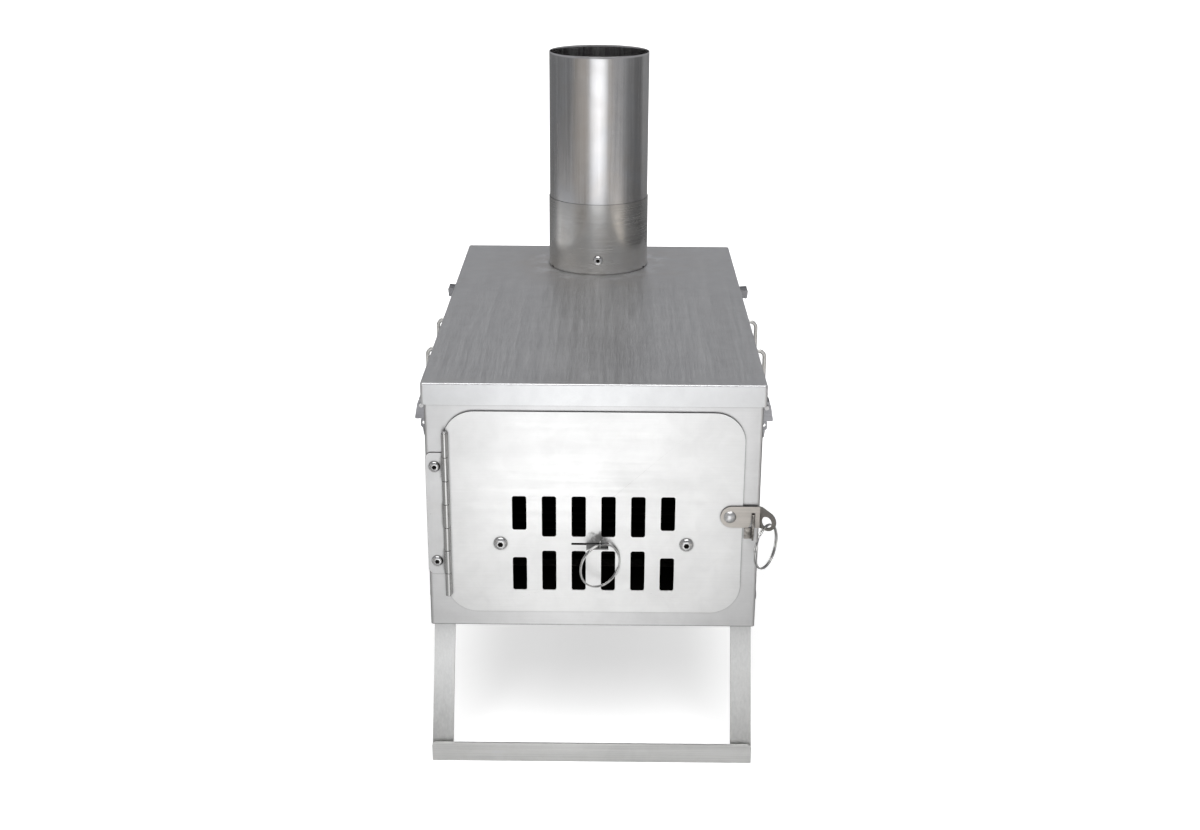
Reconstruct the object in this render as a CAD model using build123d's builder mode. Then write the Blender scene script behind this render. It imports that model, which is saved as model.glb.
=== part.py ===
from build123d import *
from math import asin, cos, radians, sin, sqrt
import os

os.makedirs("parts", exist_ok=True)

# A small sheet-metal tent stove. The origin is on the ground under its middle,
# the door faces -Y, +X is to the right of someone who faces the door.

# Firebox
body_width = 226.4
body_depth = 372.4
body_bottom = 89.0
lid_top = 268.0
sheet = 0.8
corner_bend = 2.0
panel_flange = 12.0
bottom_return = 3.5
floor_rise = 26.0
floor_flange = 7.0
floor_play = 0.05
running_play = 0.05

# Lid, collar and flue pipe
lid_sheet = 1.0
lid_side_gap = 0.8
lid_seat_gap = 0.2
skirt_depth = 15.0
lid_bend = 1.2
flue_from_rear = 56.8
collar_diameter = 82.7
collar_height = 58.5
collar_wall = 0.5
collar_flange = 5.0
collar_screw_height = 12.5
pipe_wall = 0.5
pipe_fit = 0.05
pipe_above_lid = 177.0
pipe_seat_gap = 0.3
notch_width = 2.6
notch_height = 1.6
notch_turns = (203.5, 336.5, 90.0)
collar_screw_turns = (270.0, 30.0, 150.0)
collar_screw_length = 7.0

# Door
door_sheet = 1.0
door_gap = 0.4
door_hinge_margin = 12.4
door_latch_margin = 11.5
door_foot_margin = 11.4
door_head_margin = 19.6
door_corner = 21.0
opening_lap = 11.0
opening_latch_lap = 4.2

# Air slots and draft slider
slot_columns = 6
slot_pitch = 20.25
slot_width = 9.6
slot_corner = 1.5
slot_tall = 29.8
slot_short = 24.8
slot_row_gap = 10.8
slot_row_height = 51.8
slot_middle = 0.3
slider_sheet = 0.8
slider_gap = 0.1
slider_travel = 10.0
slider_margin = 2.6
slider_end_margin = 18.2
slider_corner = 3.0
slider_screw_spacing = 127.4
slider_screw_diameter = 5.0
slider_screw_head = 9.5
slider_screw_head_height = 2.7
slider_screw_socket = 3.0
slider_screw_length = 9.0
slider_nut_width = 8.0
slider_nut_height = 4.0
nut_play = 0.15
slider_slot_play = 0.3
slit_height = 1.4
slit_play = 0.3
tab_width = 15.0
tab_reach = 8.5
tab_left = -4.5
ear_inset = 5.6
ear_hole_drop = 3.2
ear_hole_size = 3.6
ear_hole_forward = 0.7
ear_rim_width = 1.4

# Split rings
ring_diameter = 32.0
ring_wire = 1.6
ring_turn = 24.0

# Screws
screw_diameter = 4.0
screw_head = 7.6
screw_head_height = 2.2
screw_socket = 2.5
nut_width = 7.0
nut_height = 3.2
hole_play = 0.1

# Hinge
hinge_sheet = 0.8
hinge_inset = 1.2
hinge_length = 120.0
hinge_below_middle = 1.0
knuckle_count = 7
knuckle_diameter = 4.2
knuckle_gap = 0.15
pin_diameter = 2.0
barrel_gap = 0.6
relief_side = 0.8
relief_front = 0.5
hinge_lift = 0.05
pin_head_width = 3.4
pin_head_height = 1.2
frame_leaf_length = 90.0
frame_leaf_width = 11.0
frame_leaf_corner = 4.0
frame_screw_spacing = 70.0
frame_screw_inset = 4.8
hinge_screw_length = 7.0
door_leaf_width = 4.4

# Door latch
latch_inset = 8.7
latch_below_middle = 0.7
lever_height = 15.6
lever_sheet = 1.2
lever_gap = 0.1
lever_overhang = 6.5
lever_past_side = 0.4
rivet_dome = 2.4
rivet_tail = 1.0
rivet_play = 0.1
rivet_head = 8.6
ear_bend = 35.0
ear_radius = 7.0
ear_hole = 7.4
ear_centre = 5.6
ear_drop = 1.6
ear_hole_below = 0.8
notch_play = 0.6
notch_swing_play = 0.3
keeper_inset = 4.5
keeper_over_latch = 2.5
keeper_under_latch = 16.7
keeper_reach = 5.3
keeper_corner = 1.5
keeper_foot = 5.5
keeper_foot_gap = 1.0

# Legs
leg_angle = 25.0
leg_side_gap = 1.2
leg_sheet = 1.2
post_width = 14.6
leg_flange = 13.2
leg_face_offset = 6.7
leg_pivot_inset = 20.2
leg_pivot_rise = 15.0
leg_pivot_shank = 5.0
leg_pivot_head = 8.0
leg_pivot_head_height = 2.2
leg_pivot_tail_height = 1.4
leg_pivot_round = 1.6
leg_pivot_play = 0.1
foot_reach = 33.8
foot_lip = 14.4
foot_flange = 13.0
foot_corner = 3.0

# Lid clamps and carry handles
clamp_width = 14.0
clamp_sheet = 0.8
clamp_front_inset = 25.2
clamp_rear_inset = 67.2
clamp_open_angle = 85.0
clamp_pivot_out = 4.4
clamp_pivot_drop = 22.5
clamp_pin = 2.0
clamp_cheek_gap = 0.3
clamp_pin_head = 0.8
clamp_pin_play = 0.1
clamp_lock_hole = 2.4
clamp_lock_place = (3.1, -13.1)
clamp_base_outline = [
    (0, -22.9), (3.4, -21.9), (4.0, -16.9), (5.3, -15.5), (5.3, -11.1), (4.2, -9.5),
    (4.0, -4.9), (6.4, -1.9), (6.4, 1.5), (4.8, 3.2), (0, 3.2),
]
clamp_lever_outline = [
    (2.2, 2.9), (3.4, 4.1), (5.2, 4.1), (6.6, 2.9), (7.4, 0.5), (9.1, -9.1), (8.4, -9.8), (2.2, -9.8), (1.6, -8.9),
]
clamp_web_outline = [(7.96, -2.7), (9.1, -9.1), (8.4, -9.6), (7.19, -2.7)]
catch_narrower = 1.0
catch_reach = 2.4
catch_foot_rise = 1.0
catch_top_drop = 4.0
handle_pivot_out = 4.6
handle_pivot_drop = 24.0
handle_span = 76.0
handle_reach = 10.4
handle_drop = 40.0
handle_wire = 3.0
handle_bend = 5.0
clip_length = 10.0
clip_sheet = 1.0
clip_below = 12.0
clip_above = 4.0
clip_from_bend = 1.0
handle_end_past_clip = 1.5

# Grate
grate_gap = 4.0
grate_sheet = 0.8
grate_bar = 4.0
grate_pitch = 14.0
grate_side_margin = 18.0
grate_end_margin = 30.0

# Values worked out from the ones above
half_width = body_width / 2
half_depth = body_depth / 2
side_face = half_width - sheet
body_top = lid_top - lid_sheet - lid_seat_gap
floor_level = body_bottom + floor_rise
flue_y = half_depth - flue_from_rear
pipe_top = lid_top + pipe_above_lid
panel_face = -half_depth
door_left = -half_width + door_hinge_margin
door_right = half_width - door_latch_margin
door_bottom = body_bottom + door_foot_margin
door_top = lid_top - door_head_margin
door_middle = (door_bottom + door_top) / 2
door_back = panel_face - door_gap
door_face = door_back - door_sheet
lid_width = body_width + 2 * (lid_side_gap + lid_sheet)
lid_depth = body_depth + 2 * (lid_side_gap + lid_sheet)
opening_left = door_left + opening_lap
opening_right = door_right - opening_latch_lap
opening_bottom = door_bottom + opening_lap
opening_top = door_top - opening_lap
slot_row_middle = door_bottom + slot_row_height
hinge_x = door_left + hinge_inset
hinge_middle = door_middle - hinge_below_middle
knuckle_length = hinge_length / knuckle_count
hinge_y = door_face - knuckle_diameter / 2 - hinge_lift
hinge_bottom = hinge_middle - hinge_length / 2
frame_screws = [hinge_middle - frame_screw_spacing / 2, hinge_middle + frame_screw_spacing / 2]
leaf_edge = hinge_x - knuckle_diameter / 2 - barrel_gap
leaf_left = leaf_edge - frame_leaf_width
frame_screw_x = leaf_edge - frame_screw_inset
latch_x = door_right - latch_inset
latch_z = door_middle - latch_below_middle
keeper_x = half_width - keeper_inset
keeper_top = latch_z + keeper_over_latch
keeper_bottom = latch_z - keeper_under_latch
leg_half_width = side_face - leg_side_gap
leg_pivot_y = half_depth - leg_pivot_inset
leg_pivot_z = body_bottom + leg_pivot_rise
foot_y = half_depth + foot_reach
clamp_front_y = -half_depth + clamp_front_inset
clamp_rear_y = half_depth - clamp_rear_inset
clamp_pivot_z = lid_top - clamp_pivot_drop
handle_pivot_z = lid_top - handle_pivot_drop
collar_inner = collar_diameter / 2 - collar_wall
pipe_radius = collar_inner - pipe_fit
pipe_bore = pipe_radius - pipe_wall
pipe_bottom = lid_top + collar_screw_height + screw_diameter / 2 + pipe_seat_gap
slot_x = [slot_middle + (i - (slot_columns - 1) / 2) * slot_pitch for i in range(slot_columns)]


def span(low, high):
    """Middle and length of a stretch."""
    return (low + high) / 2, high - low


def sheet_box(x_low, x_high, y_low, y_high, z_low, z_high):
    """A square-edged block between six planes, added to the part being made."""
    x_mid, x_len = span(x_low, x_high)
    y_mid, y_len = span(y_low, y_high)
    z_mid, z_len = span(z_low, z_high)
    with Locations((x_mid, y_mid, z_mid)):
        return Box(x_len, y_len, z_len)


def front_plane(y):
    """A sketch plane that faces the front, with X to the right and Z up."""
    return Plane((0, y, 0), x_dir=(1, 0, 0), z_dir=(0, -1, 0))


def air_slots():
    """The outlines of the twelve air slots, the outer ones shorter."""
    for index, x in enumerate(slot_x):
        outer = index in (0, slot_columns - 1)
        tall = slot_short if outer else slot_tall
        middle = slot_row_gap / 2 + slot_tall - tall / 2
        with Locations((x, slot_row_middle + middle), (x, slot_row_middle - middle)):
            RectangleRounded(slot_width, tall, slot_corner)


small_screw = (screw_diameter, screw_head, screw_head_height, screw_socket, nut_width, nut_height)
slider_screw = (
    slider_screw_diameter, slider_screw_head, slider_screw_head_height, slider_screw_socket,
    slider_nut_width, slider_nut_height,
)


def button_screw(length, nut_from, sizes=small_screw):
    """A button-head screw and nut on +Z: the head stands on the origin, the shank goes down."""
    diameter, head, head_height, socket, nut_across, nut_thickness = sizes
    with BuildPart() as screw:
        with BuildSketch(Plane.XZ):
            with BuildLine():
                Line((0, head_height), (socket / 2, head_height))
                ThreePointArc(
                    (socket / 2, head_height),
                    (head * 0.37, head_height * 0.72),
                    (head / 2, head_height * 0.2),
                )
                Polyline(
                    (head / 2, head_height * 0.2),
                    (head / 2, 0),
                    (diameter / 2, 0),
                    (diameter / 2, -length),
                    (0, -length),
                    (0, head_height),
                )
            make_face()
        revolve(axis=Axis.Z)
        with BuildSketch(Plane.XY.offset(head_height * 0.45)):
            RegularPolygon(socket / 2, 6)
        extrude(amount=head_height, mode=Mode.SUBTRACT)
    with BuildPart() as nut:
        with BuildSketch(Plane.XY.offset(-nut_from)):
            RegularPolygon(nut_across / 2, 6, major_radius=False)
            Circle(diameter / 2, mode=Mode.SUBTRACT)
        extrude(amount=-nut_thickness)
    return [screw.part, nut.part]


def facing_front(x, y, z):
    """A place whose +Z points at the viewer of the door."""
    return Location(Plane((x, y, z), x_dir=(1, 0, 0), z_dir=(0, -1, 0)))


# The front and rear panels are pans: a face with flanges that lap the side sheets
def end_pan_profile():
    """The pan's plan: a face and two flanges, with bent corners."""
    depth = 2 * panel_flange
    with Locations((0, -half_depth + depth / 2)):
        RectangleRounded(body_width, depth, corner_bend)
        RectangleRounded(body_width - 2 * sheet, depth - 2 * sheet, corner_bend - sheet, mode=Mode.SUBTRACT)
    with Locations((0, -half_depth + 1.5 * panel_flange)):
        Rectangle(body_width + 2, panel_flange, mode=Mode.SUBTRACT)


with BuildPart() as front_panel:
    with BuildSketch(Plane.XY.offset(body_bottom)):
        end_pan_profile()
    extrude(amount=body_top - body_bottom)
    sheet_box(-half_width + corner_bend, half_width - corner_bend, panel_face, panel_face + bottom_return,
              body_bottom, body_bottom + sheet)
    with BuildSketch(front_plane(panel_face + sheet)):
        with Locations(((opening_left + opening_right) / 2, (opening_bottom + opening_top) / 2)):
            RectangleRounded(opening_right - opening_left, opening_top - opening_bottom, door_corner - opening_lap)
        for height in frame_screws:
            with Locations((frame_screw_x, height)):
                Circle(screw_diameter / 2 + hole_play)
    extrude(amount=2 * sheet, mode=Mode.SUBTRACT)
front_panel.part.label = "front_panel"
export_step(front_panel.part, "parts/front_panel.step")

with BuildPart() as rear_panel:
    with BuildSketch(Plane.XY.offset(body_bottom)):
        end_pan_profile()
    extrude(amount=body_top - body_bottom)
    sheet_box(-half_width + corner_bend, half_width - corner_bend, panel_face, panel_face + bottom_return,
              body_bottom, body_bottom + sheet)
rear_panel_part = mirror(rear_panel.part, about=Plane.XZ)
rear_panel_part.label = "rear_panel"
export_step(rear_panel_part, "parts/rear_panel.step")

# Side sheets, between the two pans and inside their flanges
for side, name in ((-1, "side_left"), (1, "side_right")):
    with BuildPart() as side_sheet:
        inner, outer = sorted((side * (side_face - sheet), side * side_face))
        end = half_depth - corner_bend
        sheet_box(inner, outer, -end, end, body_bottom, body_top)
        with Locations(Plane.YZ):
            with Locations((-leg_pivot_y, leg_pivot_z), (leg_pivot_y, leg_pivot_z)):
                Cylinder(leg_pivot_shank / 2 + hole_play, 3 * half_width, mode=Mode.SUBTRACT)
    side_sheet.part.label = name
    export_step(side_sheet.part, f"parts/{name}.step")

# Raised floor: a tray turned over, welded between the walls above the folded legs
with BuildPart() as firebox_floor:
    tray_x = side_face - sheet - floor_play
    tray_y = half_depth - sheet - floor_play
    sheet_box(-tray_x, tray_x, -tray_y, tray_y, floor_level - floor_flange, floor_level + sheet)
    with Locations((0, 0, floor_level - floor_flange)):
        Box(2 * tray_x + 2, 2 * (tray_y - sheet), 2 * floor_flange, mode=Mode.SUBTRACT)
firebox_floor.part.label = "firebox_floor"
export_step(firebox_floor.part, "parts/firebox_floor.step")

# Fire grate: a frame of flat bars on short feet
with BuildPart() as fire_grate:
    grate_x = tray_x - grate_side_margin
    grate_y = tray_y - grate_end_margin
    grate_low = floor_level + sheet
    with BuildSketch(Plane.XY.offset(grate_low + grate_gap)):
        Rectangle(2 * grate_x, 2 * grate_y)
        opening = grate_pitch - grate_bar
        count = int((2 * grate_y - 2 * grate_bar) // grate_pitch)
        with GridLocations(0, grate_pitch, 1, count):
            with Locations((-grate_x / 2, 0), (grate_x / 2, 0)):
                Rectangle(grate_x - 2 * grate_bar, opening, mode=Mode.SUBTRACT)
    extrude(amount=grate_sheet)
    with BuildSketch(Plane.XY.offset(grate_low)):
        with GridLocations(2 * grate_x - grate_bar, 2 * grate_y - grate_bar, 2, 2):
            Rectangle(grate_bar, grate_bar)
    extrude(amount=grate_gap)
fire_grate.part.label = "fire_grate"
export_step(fire_grate.part, "parts/fire_grate.step")

# Lid: a shallow pan turned over, with the flue hole
with BuildPart() as lid:
    sheet_box(-lid_width / 2, lid_width / 2, -lid_depth / 2, lid_depth / 2, lid_top - skirt_depth, lid_top)
    fillet(lid.edges().filter_by(Axis.Z), corner_bend)
    fillet(lid.faces().sort_by(Axis.Z)[-1].edges(), lid_bend)
    with BuildSketch(Plane.XY.offset(lid_top - skirt_depth)):
        RectangleRounded(lid_width - 2 * lid_sheet, lid_depth - 2 * lid_sheet, corner_bend - lid_sheet)
    extrude(amount=skirt_depth - lid_sheet, mode=Mode.SUBTRACT)
    with Locations((0, flue_y, lid_top)):
        Cylinder(collar_diameter / 2 + hole_play, 4 * lid_sheet, mode=Mode.SUBTRACT)
lid.part.label = "lid"
export_step(lid.part, "parts/lid.step")

# Flue collar: a tube through the lid, with a flange turned out under it
collar_foot = lid_top - lid_sheet - sheet
with BuildPart() as flue_collar:
    with BuildSketch(Plane.XY.offset(collar_foot)):
        with Locations((0, flue_y)):
            Circle(collar_diameter / 2)
            Circle(collar_inner, mode=Mode.SUBTRACT)
    extrude(amount=lid_top + collar_height - collar_foot)
    with BuildSketch(Plane.XY.offset(collar_foot)):
        with Locations((0, flue_y)):
            Circle(collar_diameter / 2 + collar_flange)
            Circle(collar_inner, mode=Mode.SUBTRACT)
    extrude(amount=sheet - 0.02)
    for turn in collar_screw_turns:
        screw_axis = Plane((0, flue_y, lid_top + collar_screw_height), x_dir=(0, 0, 1),
                           z_dir=(cos(radians(turn)), sin(radians(turn)), 0))
        with BuildSketch(screw_axis):
            Circle(screw_diameter / 2 + hole_play)
        extrude(amount=collar_diameter, mode=Mode.SUBTRACT)
    for turn in notch_turns:
        with Locations(Location((0, flue_y, lid_top + notch_height / 2), (0, 0, turn))):
            with Locations((collar_diameter / 2, 0, 0)):
                Box(collar_diameter / 4, notch_width, notch_height, mode=Mode.SUBTRACT)
flue_collar.part.label = "flue_collar"
export_step(flue_collar.part, "parts/flue_collar.step")

collar_screw_set = []
for turn in collar_screw_turns:
    out = (cos(radians(turn)), sin(radians(turn)), 0)
    place = Plane((out[0] * collar_diameter / 2, flue_y + out[1] * collar_diameter / 2,
                   lid_top + collar_screw_height), x_dir=(0, 0, 1), z_dir=out)
    collar_screw_set.append(Location(place) * button_screw(collar_screw_length, 0.0)[0])
collar_screws = Compound(collar_screw_set, label="collar_screws")
export_step(collar_screws, "parts/collar_screws.step")

# Flue pipe, standing on the collar's screws
with BuildPart() as flue_pipe:
    with BuildSketch(Plane.XY.offset(pipe_bottom)):
        with Locations((0, flue_y)):
            Circle(pipe_radius)
            Circle(pipe_bore, mode=Mode.SUBTRACT)
    extrude(amount=pipe_top - pipe_bottom)
flue_pipe.part.label = "flue_pipe"
export_step(flue_pipe.part, "parts/flue_pipe.step")

# Door
slider_y = door_back + slider_gap
slider_screw_x = [slot_middle - slider_screw_spacing / 2, slot_middle + slider_screw_spacing / 2]
slit_left = tab_left - slider_travel - slit_play
slit_right = tab_left + tab_width + slit_play
with BuildPart() as door_panel:
    with BuildSketch(front_plane(door_back)):
        with Locations(((door_left + door_right) / 2, (door_bottom + door_top) / 2)):
            RectangleRounded(door_right - door_left, door_top - door_bottom, door_corner)
        with BuildSketch(mode=Mode.SUBTRACT):
            air_slots()
        with Locations(((slit_left + slit_right) / 2, slot_row_middle)):
            Rectangle(slit_right - slit_left, slit_height, mode=Mode.SUBTRACT)
        for x in slider_screw_x:
            with Locations((x, slot_row_middle)):
                Circle(slider_screw_diameter / 2 + hole_play, mode=Mode.SUBTRACT)
        with Locations((latch_x, latch_z)):
            Circle(screw_diameter / 2 + hole_play, mode=Mode.SUBTRACT)
    extrude(amount=door_sheet)
door_panel.part.label = "door_panel"
export_step(door_panel.part, "parts/door_panel.step")

slider_set = []
for x in slider_screw_x:
    place = facing_front(x, door_face, slot_row_middle)
    slider_grip = door_sheet + slider_gap + slider_sheet + nut_play
    slider_set += [place * piece for piece in button_screw(slider_screw_length, slider_grip, slider_screw)]
slider_screws = Compound(slider_set, label="slider_screws")
export_step(slider_screws, "parts/slider_screws.step")

# Draft slider: the plate behind the door, with its tab and the ear that holds the ring
slider_left = slot_x[0] - slot_width / 2 - slider_end_margin
slider_right = slot_x[-1] + slot_width / 2 + slider_end_margin
slider_half_height = slot_row_gap / 2 + slot_tall + slider_margin
tab_sheet = slider_sheet
tab_front = door_face - tab_reach
ear_x = tab_left + tab_width - ear_inset
ring_radius = (ring_diameter - ring_wire) / 2
ear_hole_radius = ear_hole_size / 2
ear_rim = ear_hole_radius + ear_rim_width
ear_hole_y = tab_front + ear_hole_forward
ear_hole_z = slot_row_middle + tab_sheet / 2 + ear_hole_drop
with BuildPart() as draft_slider:
    with BuildSketch(front_plane(slider_y + slider_sheet)):
        with Locations(((slider_left + slider_right) / 2, slot_row_middle)):
            RectangleRounded(slider_right - slider_left, 2 * slider_half_height, slider_corner)
        with BuildSketch(mode=Mode.SUBTRACT):
            air_slots()
        for x in slider_screw_x:
            with Locations((x + slider_travel / 2, slot_row_middle)):
                SlotCenterToCenter(slider_travel, slider_screw_diameter + 2 * slider_slot_play, mode=Mode.SUBTRACT)
    extrude(amount=slider_sheet)
    sheet_box(tab_left, tab_left + tab_width, tab_front, slider_y + slider_sheet / 2,
              slot_row_middle - tab_sheet / 2, slot_row_middle + tab_sheet / 2)
    with BuildSketch(Plane((ear_x, 0, 0), x_dir=(0, 1, 0), z_dir=(1, 0, 0))):
        with Locations((ear_hole_y, ear_hole_z)):
            Circle(ear_rim)
        with Locations((ear_hole_y + ear_rim / 2, (ear_hole_z + slot_row_middle) / 2)):
            Rectangle(ear_rim, ear_hole_z - slot_row_middle)
        with Locations((ear_hole_y, ear_hole_z)):
            Circle(ear_hole_radius, mode=Mode.SUBTRACT)
    extrude(amount=tab_sheet / 2, both=True)
draft_slider.part.label = "draft_slider"
export_step(draft_slider.part, "parts/draft_slider.step")


def split_ring(middle, axis_up, axis_side):
    """A wire ring about a centre, in the plane of two directions."""
    normal = Vector(*axis_side).cross(Vector(*axis_up))
    with BuildPart() as ring:
        with BuildSketch(Plane(Vector(*middle) + Vector(*axis_up) * ring_radius, x_dir=axis_up, z_dir=axis_side)):
            Circle(ring_wire / 2)
        revolve(axis=Axis(middle, normal))
    return ring.part


# Ring of the draft slider, hanging in the tab's ear
slider_ring_side = (cos(radians(ring_turn)), sin(radians(ring_turn)), 0)
slider_ring_top = ear_hole_z - ear_hole_radius + ring_wire / 2 + running_play
slider_ring = split_ring((ear_x, ear_hole_y, slider_ring_top - ring_radius), (0, 0, 1), slider_ring_side)
slider_ring.label = "slider_ring"
export_step(slider_ring, "parts/slider_ring.step")

# Hinge: the frame leaf carries the even knuckles, the door leaf the odd ones
barrel = Plane((hinge_x, hinge_y, 0), x_dir=(1, 0, 0), z_dir=(0, 0, 1))
knuckle_radius = knuckle_diameter / 2
pin_bore = pin_diameter / 2 + running_play


def knuckles(first):
    """The knuckles of one leaf, every second one from the bottom, with their bore."""
    for index in range(first, knuckle_count, 2):
        low = hinge_bottom + index * knuckle_length + knuckle_gap / 2
        with BuildSketch(barrel.offset(low)) as roll:
            Circle(knuckle_radius)
        extrude(roll.sketch, amount=knuckle_length - knuckle_gap)


def barrel_relief(first):
    """Clears the other leaf's knuckles out of this leaf."""
    for index in range(first, knuckle_count, 2):
        low = hinge_bottom + index * knuckle_length - knuckle_gap / 2
        with BuildSketch(barrel.offset(low)) as relief:
            Rectangle(2 * (knuckle_radius + relief_side), 2 * (knuckle_radius + relief_front))
        extrude(relief.sketch, amount=knuckle_length + knuckle_gap, mode=Mode.SUBTRACT)


def pin_hole():
    with BuildSketch(barrel) as bore:
        Circle(pin_bore)
    extrude(bore.sketch, amount=lid_top, mode=Mode.SUBTRACT)


leaf_lap = hinge_sheet / 4
frame_leaf_low = hinge_middle - frame_leaf_length / 2
with BuildPart() as hinge_frame_leaf:
    sheet_box(leaf_left, leaf_edge, panel_face - hinge_sheet, panel_face, frame_leaf_low,
              frame_leaf_low + frame_leaf_length)
    fillet(hinge_frame_leaf.edges().filter_by(Axis.Y).group_by(Axis.X)[0], frame_leaf_corner)
    sheet_box(leaf_edge - leaf_lap, leaf_edge + hinge_sheet - leaf_lap, hinge_y, panel_face, frame_leaf_low,
              frame_leaf_low + frame_leaf_length)
    sheet_box(leaf_edge - leaf_lap, hinge_x, hinge_y - hinge_sheet, hinge_y, frame_leaf_low,
              frame_leaf_low + frame_leaf_length)
    barrel_relief(0)
    knuckles(1)
    pin_hole()
    with BuildSketch(front_plane(panel_face)):
        for height in frame_screws:
            with Locations((frame_screw_x, height)):
                Circle(screw_diameter / 2 + hole_play)
    extrude(amount=2 * hinge_sheet, mode=Mode.SUBTRACT)
hinge_frame_leaf.part.label = "hinge_frame_leaf"
export_step(hinge_frame_leaf.part, "parts/hinge_frame_leaf.step")

with BuildPart() as hinge_door_leaf:
    sheet_box(hinge_x, hinge_x + door_leaf_width, door_face - hinge_sheet, door_face, hinge_bottom,
              hinge_bottom + hinge_length)
    barrel_relief(1)
    knuckles(0)
    pin_hole()
hinge_door_leaf.part.label = "hinge_door_leaf"
export_step(hinge_door_leaf.part, "parts/hinge_door_leaf.step")

with BuildPart() as hinge_pin:
    with BuildSketch(barrel.offset(hinge_bottom)):
        Circle(pin_diameter / 2)
    extrude(amount=hinge_length + pin_head_height / 2)
    with BuildSketch(barrel.offset(hinge_bottom + hinge_length + knuckle_gap)):
        Circle(pin_head_width / 2)
    extrude(amount=pin_head_height)
    fillet(hinge_pin.faces().sort_by(Axis.Z)[-1].edges(), pin_head_height * 0.4)
hinge_pin.part.label = "hinge_pin"
export_step(hinge_pin.part, "parts/hinge_pin.step")

hinge_screw_set = []
for height in frame_screws:
    place = facing_front(frame_screw_x, panel_face - hinge_sheet, height)
    hinge_screw_set += [place * piece for piece in button_screw(hinge_screw_length, hinge_sheet + sheet)]
hinge_screws = Compound(hinge_screw_set, label="hinge_screws")
export_step(hinge_screws, "parts/hinge_screws.step")

# Door latch: a lever that drops over a keeper, with an ear bent forward for its ring
lever_back = door_face - lever_gap
lever_face = lever_back - lever_sheet
lever_end = half_width + lever_past_side
ear_along = Vector(cos(radians(ear_bend)), -sin(radians(ear_bend)), 0)
ear_across = Vector(sin(radians(ear_bend)), cos(radians(ear_bend)), 0)
ear_plane = Plane((lever_end, lever_back, latch_z), x_dir=ear_along, z_dir=-ear_across)
notch_top = keeper_top - latch_z + notch_play
notch_right = keeper_x - latch_x + lever_sheet / 2 + notch_play
notch_swing = keeper_x - latch_x - lever_sheet / 2 - notch_swing_play
with BuildPart() as latch_lever:
    with BuildSketch(Plane((latch_x, lever_back, latch_z), x_dir=(1, 0, 0), z_dir=(0, -1, 0))):
        with BuildLine():
            half = lever_height / 2
            left = half - lever_overhang
            end = lever_end - latch_x
            ThreePointArc((left, half), (-lever_overhang, 0), (left, -half))
            Line((left, -half), (end, -half))
            Line((end, -half), (end, half))
            Line((end, half), (left, half))
        make_face()
        Circle(screw_diameter / 2 + rivet_play, mode=Mode.SUBTRACT)
        with BuildLine():
            notch_low = -half - notch_play
            arc_top = (sqrt(notch_swing**2 - notch_top**2), notch_top)
            arc_low = (sqrt(notch_swing**2 - notch_low**2), notch_low)
            ThreePointArc(arc_top, (notch_swing, 0), arc_low)
            Polyline(arc_low, (notch_right, notch_low), (notch_right, notch_top), arc_top)
        make_face(mode=Mode.SUBTRACT)
    extrude(amount=lever_sheet)
    with BuildSketch(ear_plane):
        with Locations((ear_centre, -ear_drop)):
            Circle(ear_radius)
        with Locations((ear_centre / 2, 0)):
            Rectangle(ear_centre, 2 * ear_radius)
        with Locations((-ear_radius, 0)):
            Rectangle(2 * ear_radius, 4 * ear_radius, mode=Mode.SUBTRACT)
        with Locations((ear_centre, -ear_drop - ear_hole_below)):
            Circle(ear_hole / 2, mode=Mode.SUBTRACT)
    extrude(amount=lever_sheet)
latch_lever.part.label = "latch_lever"
export_step(latch_lever.part, "parts/latch_lever.step")

dome_radius = (rivet_head**2 / 4 + rivet_dome**2) / (2 * rivet_dome)
dome_half = asin(rivet_head / 2 / dome_radius) / 2
dome_point = (dome_radius * sin(dome_half), dome_radius * cos(dome_half) + rivet_dome - dome_radius)
rivet_grip = rivet_play + lever_sheet + lever_gap + door_sheet
with BuildPart() as latch_rivet:
    with BuildSketch(Plane.XZ):
        with BuildLine():
            Line((0, rivet_dome), (0, -rivet_grip - rivet_tail))
            Polyline(
                (0, -rivet_grip - rivet_tail),
                (screw_diameter * 0.75, -rivet_grip - rivet_tail),
                (screw_diameter * 0.75, -rivet_grip),
                (screw_diameter / 2, -rivet_grip),
                (screw_diameter / 2, 0),
                (rivet_head / 2, 0),
            )
            ThreePointArc((rivet_head / 2, 0), dome_point, (0, rivet_dome))
        make_face()
    revolve(axis=Axis.Z)
latch_rivet.part.locate(facing_front(latch_x, lever_face - rivet_play, latch_z))
latch_rivet.part.label = "latch_rivet"
export_step(latch_rivet.part, "parts/latch_rivet.step")

with BuildPart() as latch_keeper:
    sheet_box(keeper_x - lever_sheet / 2, keeper_x + lever_sheet / 2, panel_face - keeper_reach, panel_face,
              keeper_bottom, keeper_top)
    fillet(latch_keeper.edges().filter_by(Axis.X).group_by(Axis.Y)[0], keeper_corner)
    sheet_box(keeper_x - keeper_foot, keeper_x, panel_face - hinge_sheet, panel_face, keeper_bottom,
              latch_z - lever_height / 2 - keeper_foot_gap)
latch_keeper.part.label = "latch_keeper"
export_step(latch_keeper.part, "parts/latch_keeper.step")

# Ring of the door latch: its plane stands across the ear
ear_hole_middle = ear_plane.origin + ear_along * ear_centre - ear_across * (lever_sheet / 2)
ear_hole_z_low = latch_z - ear_drop - ear_hole_below - ear_hole / 2
latch_ring_top = ear_hole_z_low + ring_wire / 2 + running_play
latch_ring = split_ring(
    (ear_hole_middle.X, ear_hole_middle.Y, latch_ring_top - ring_radius),
    (0, 0, 1),
    (ear_across.X, ear_across.Y, 0),
)
latch_ring.label = "latch_ring"
export_step(latch_ring, "parts/latch_ring.step")

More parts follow.
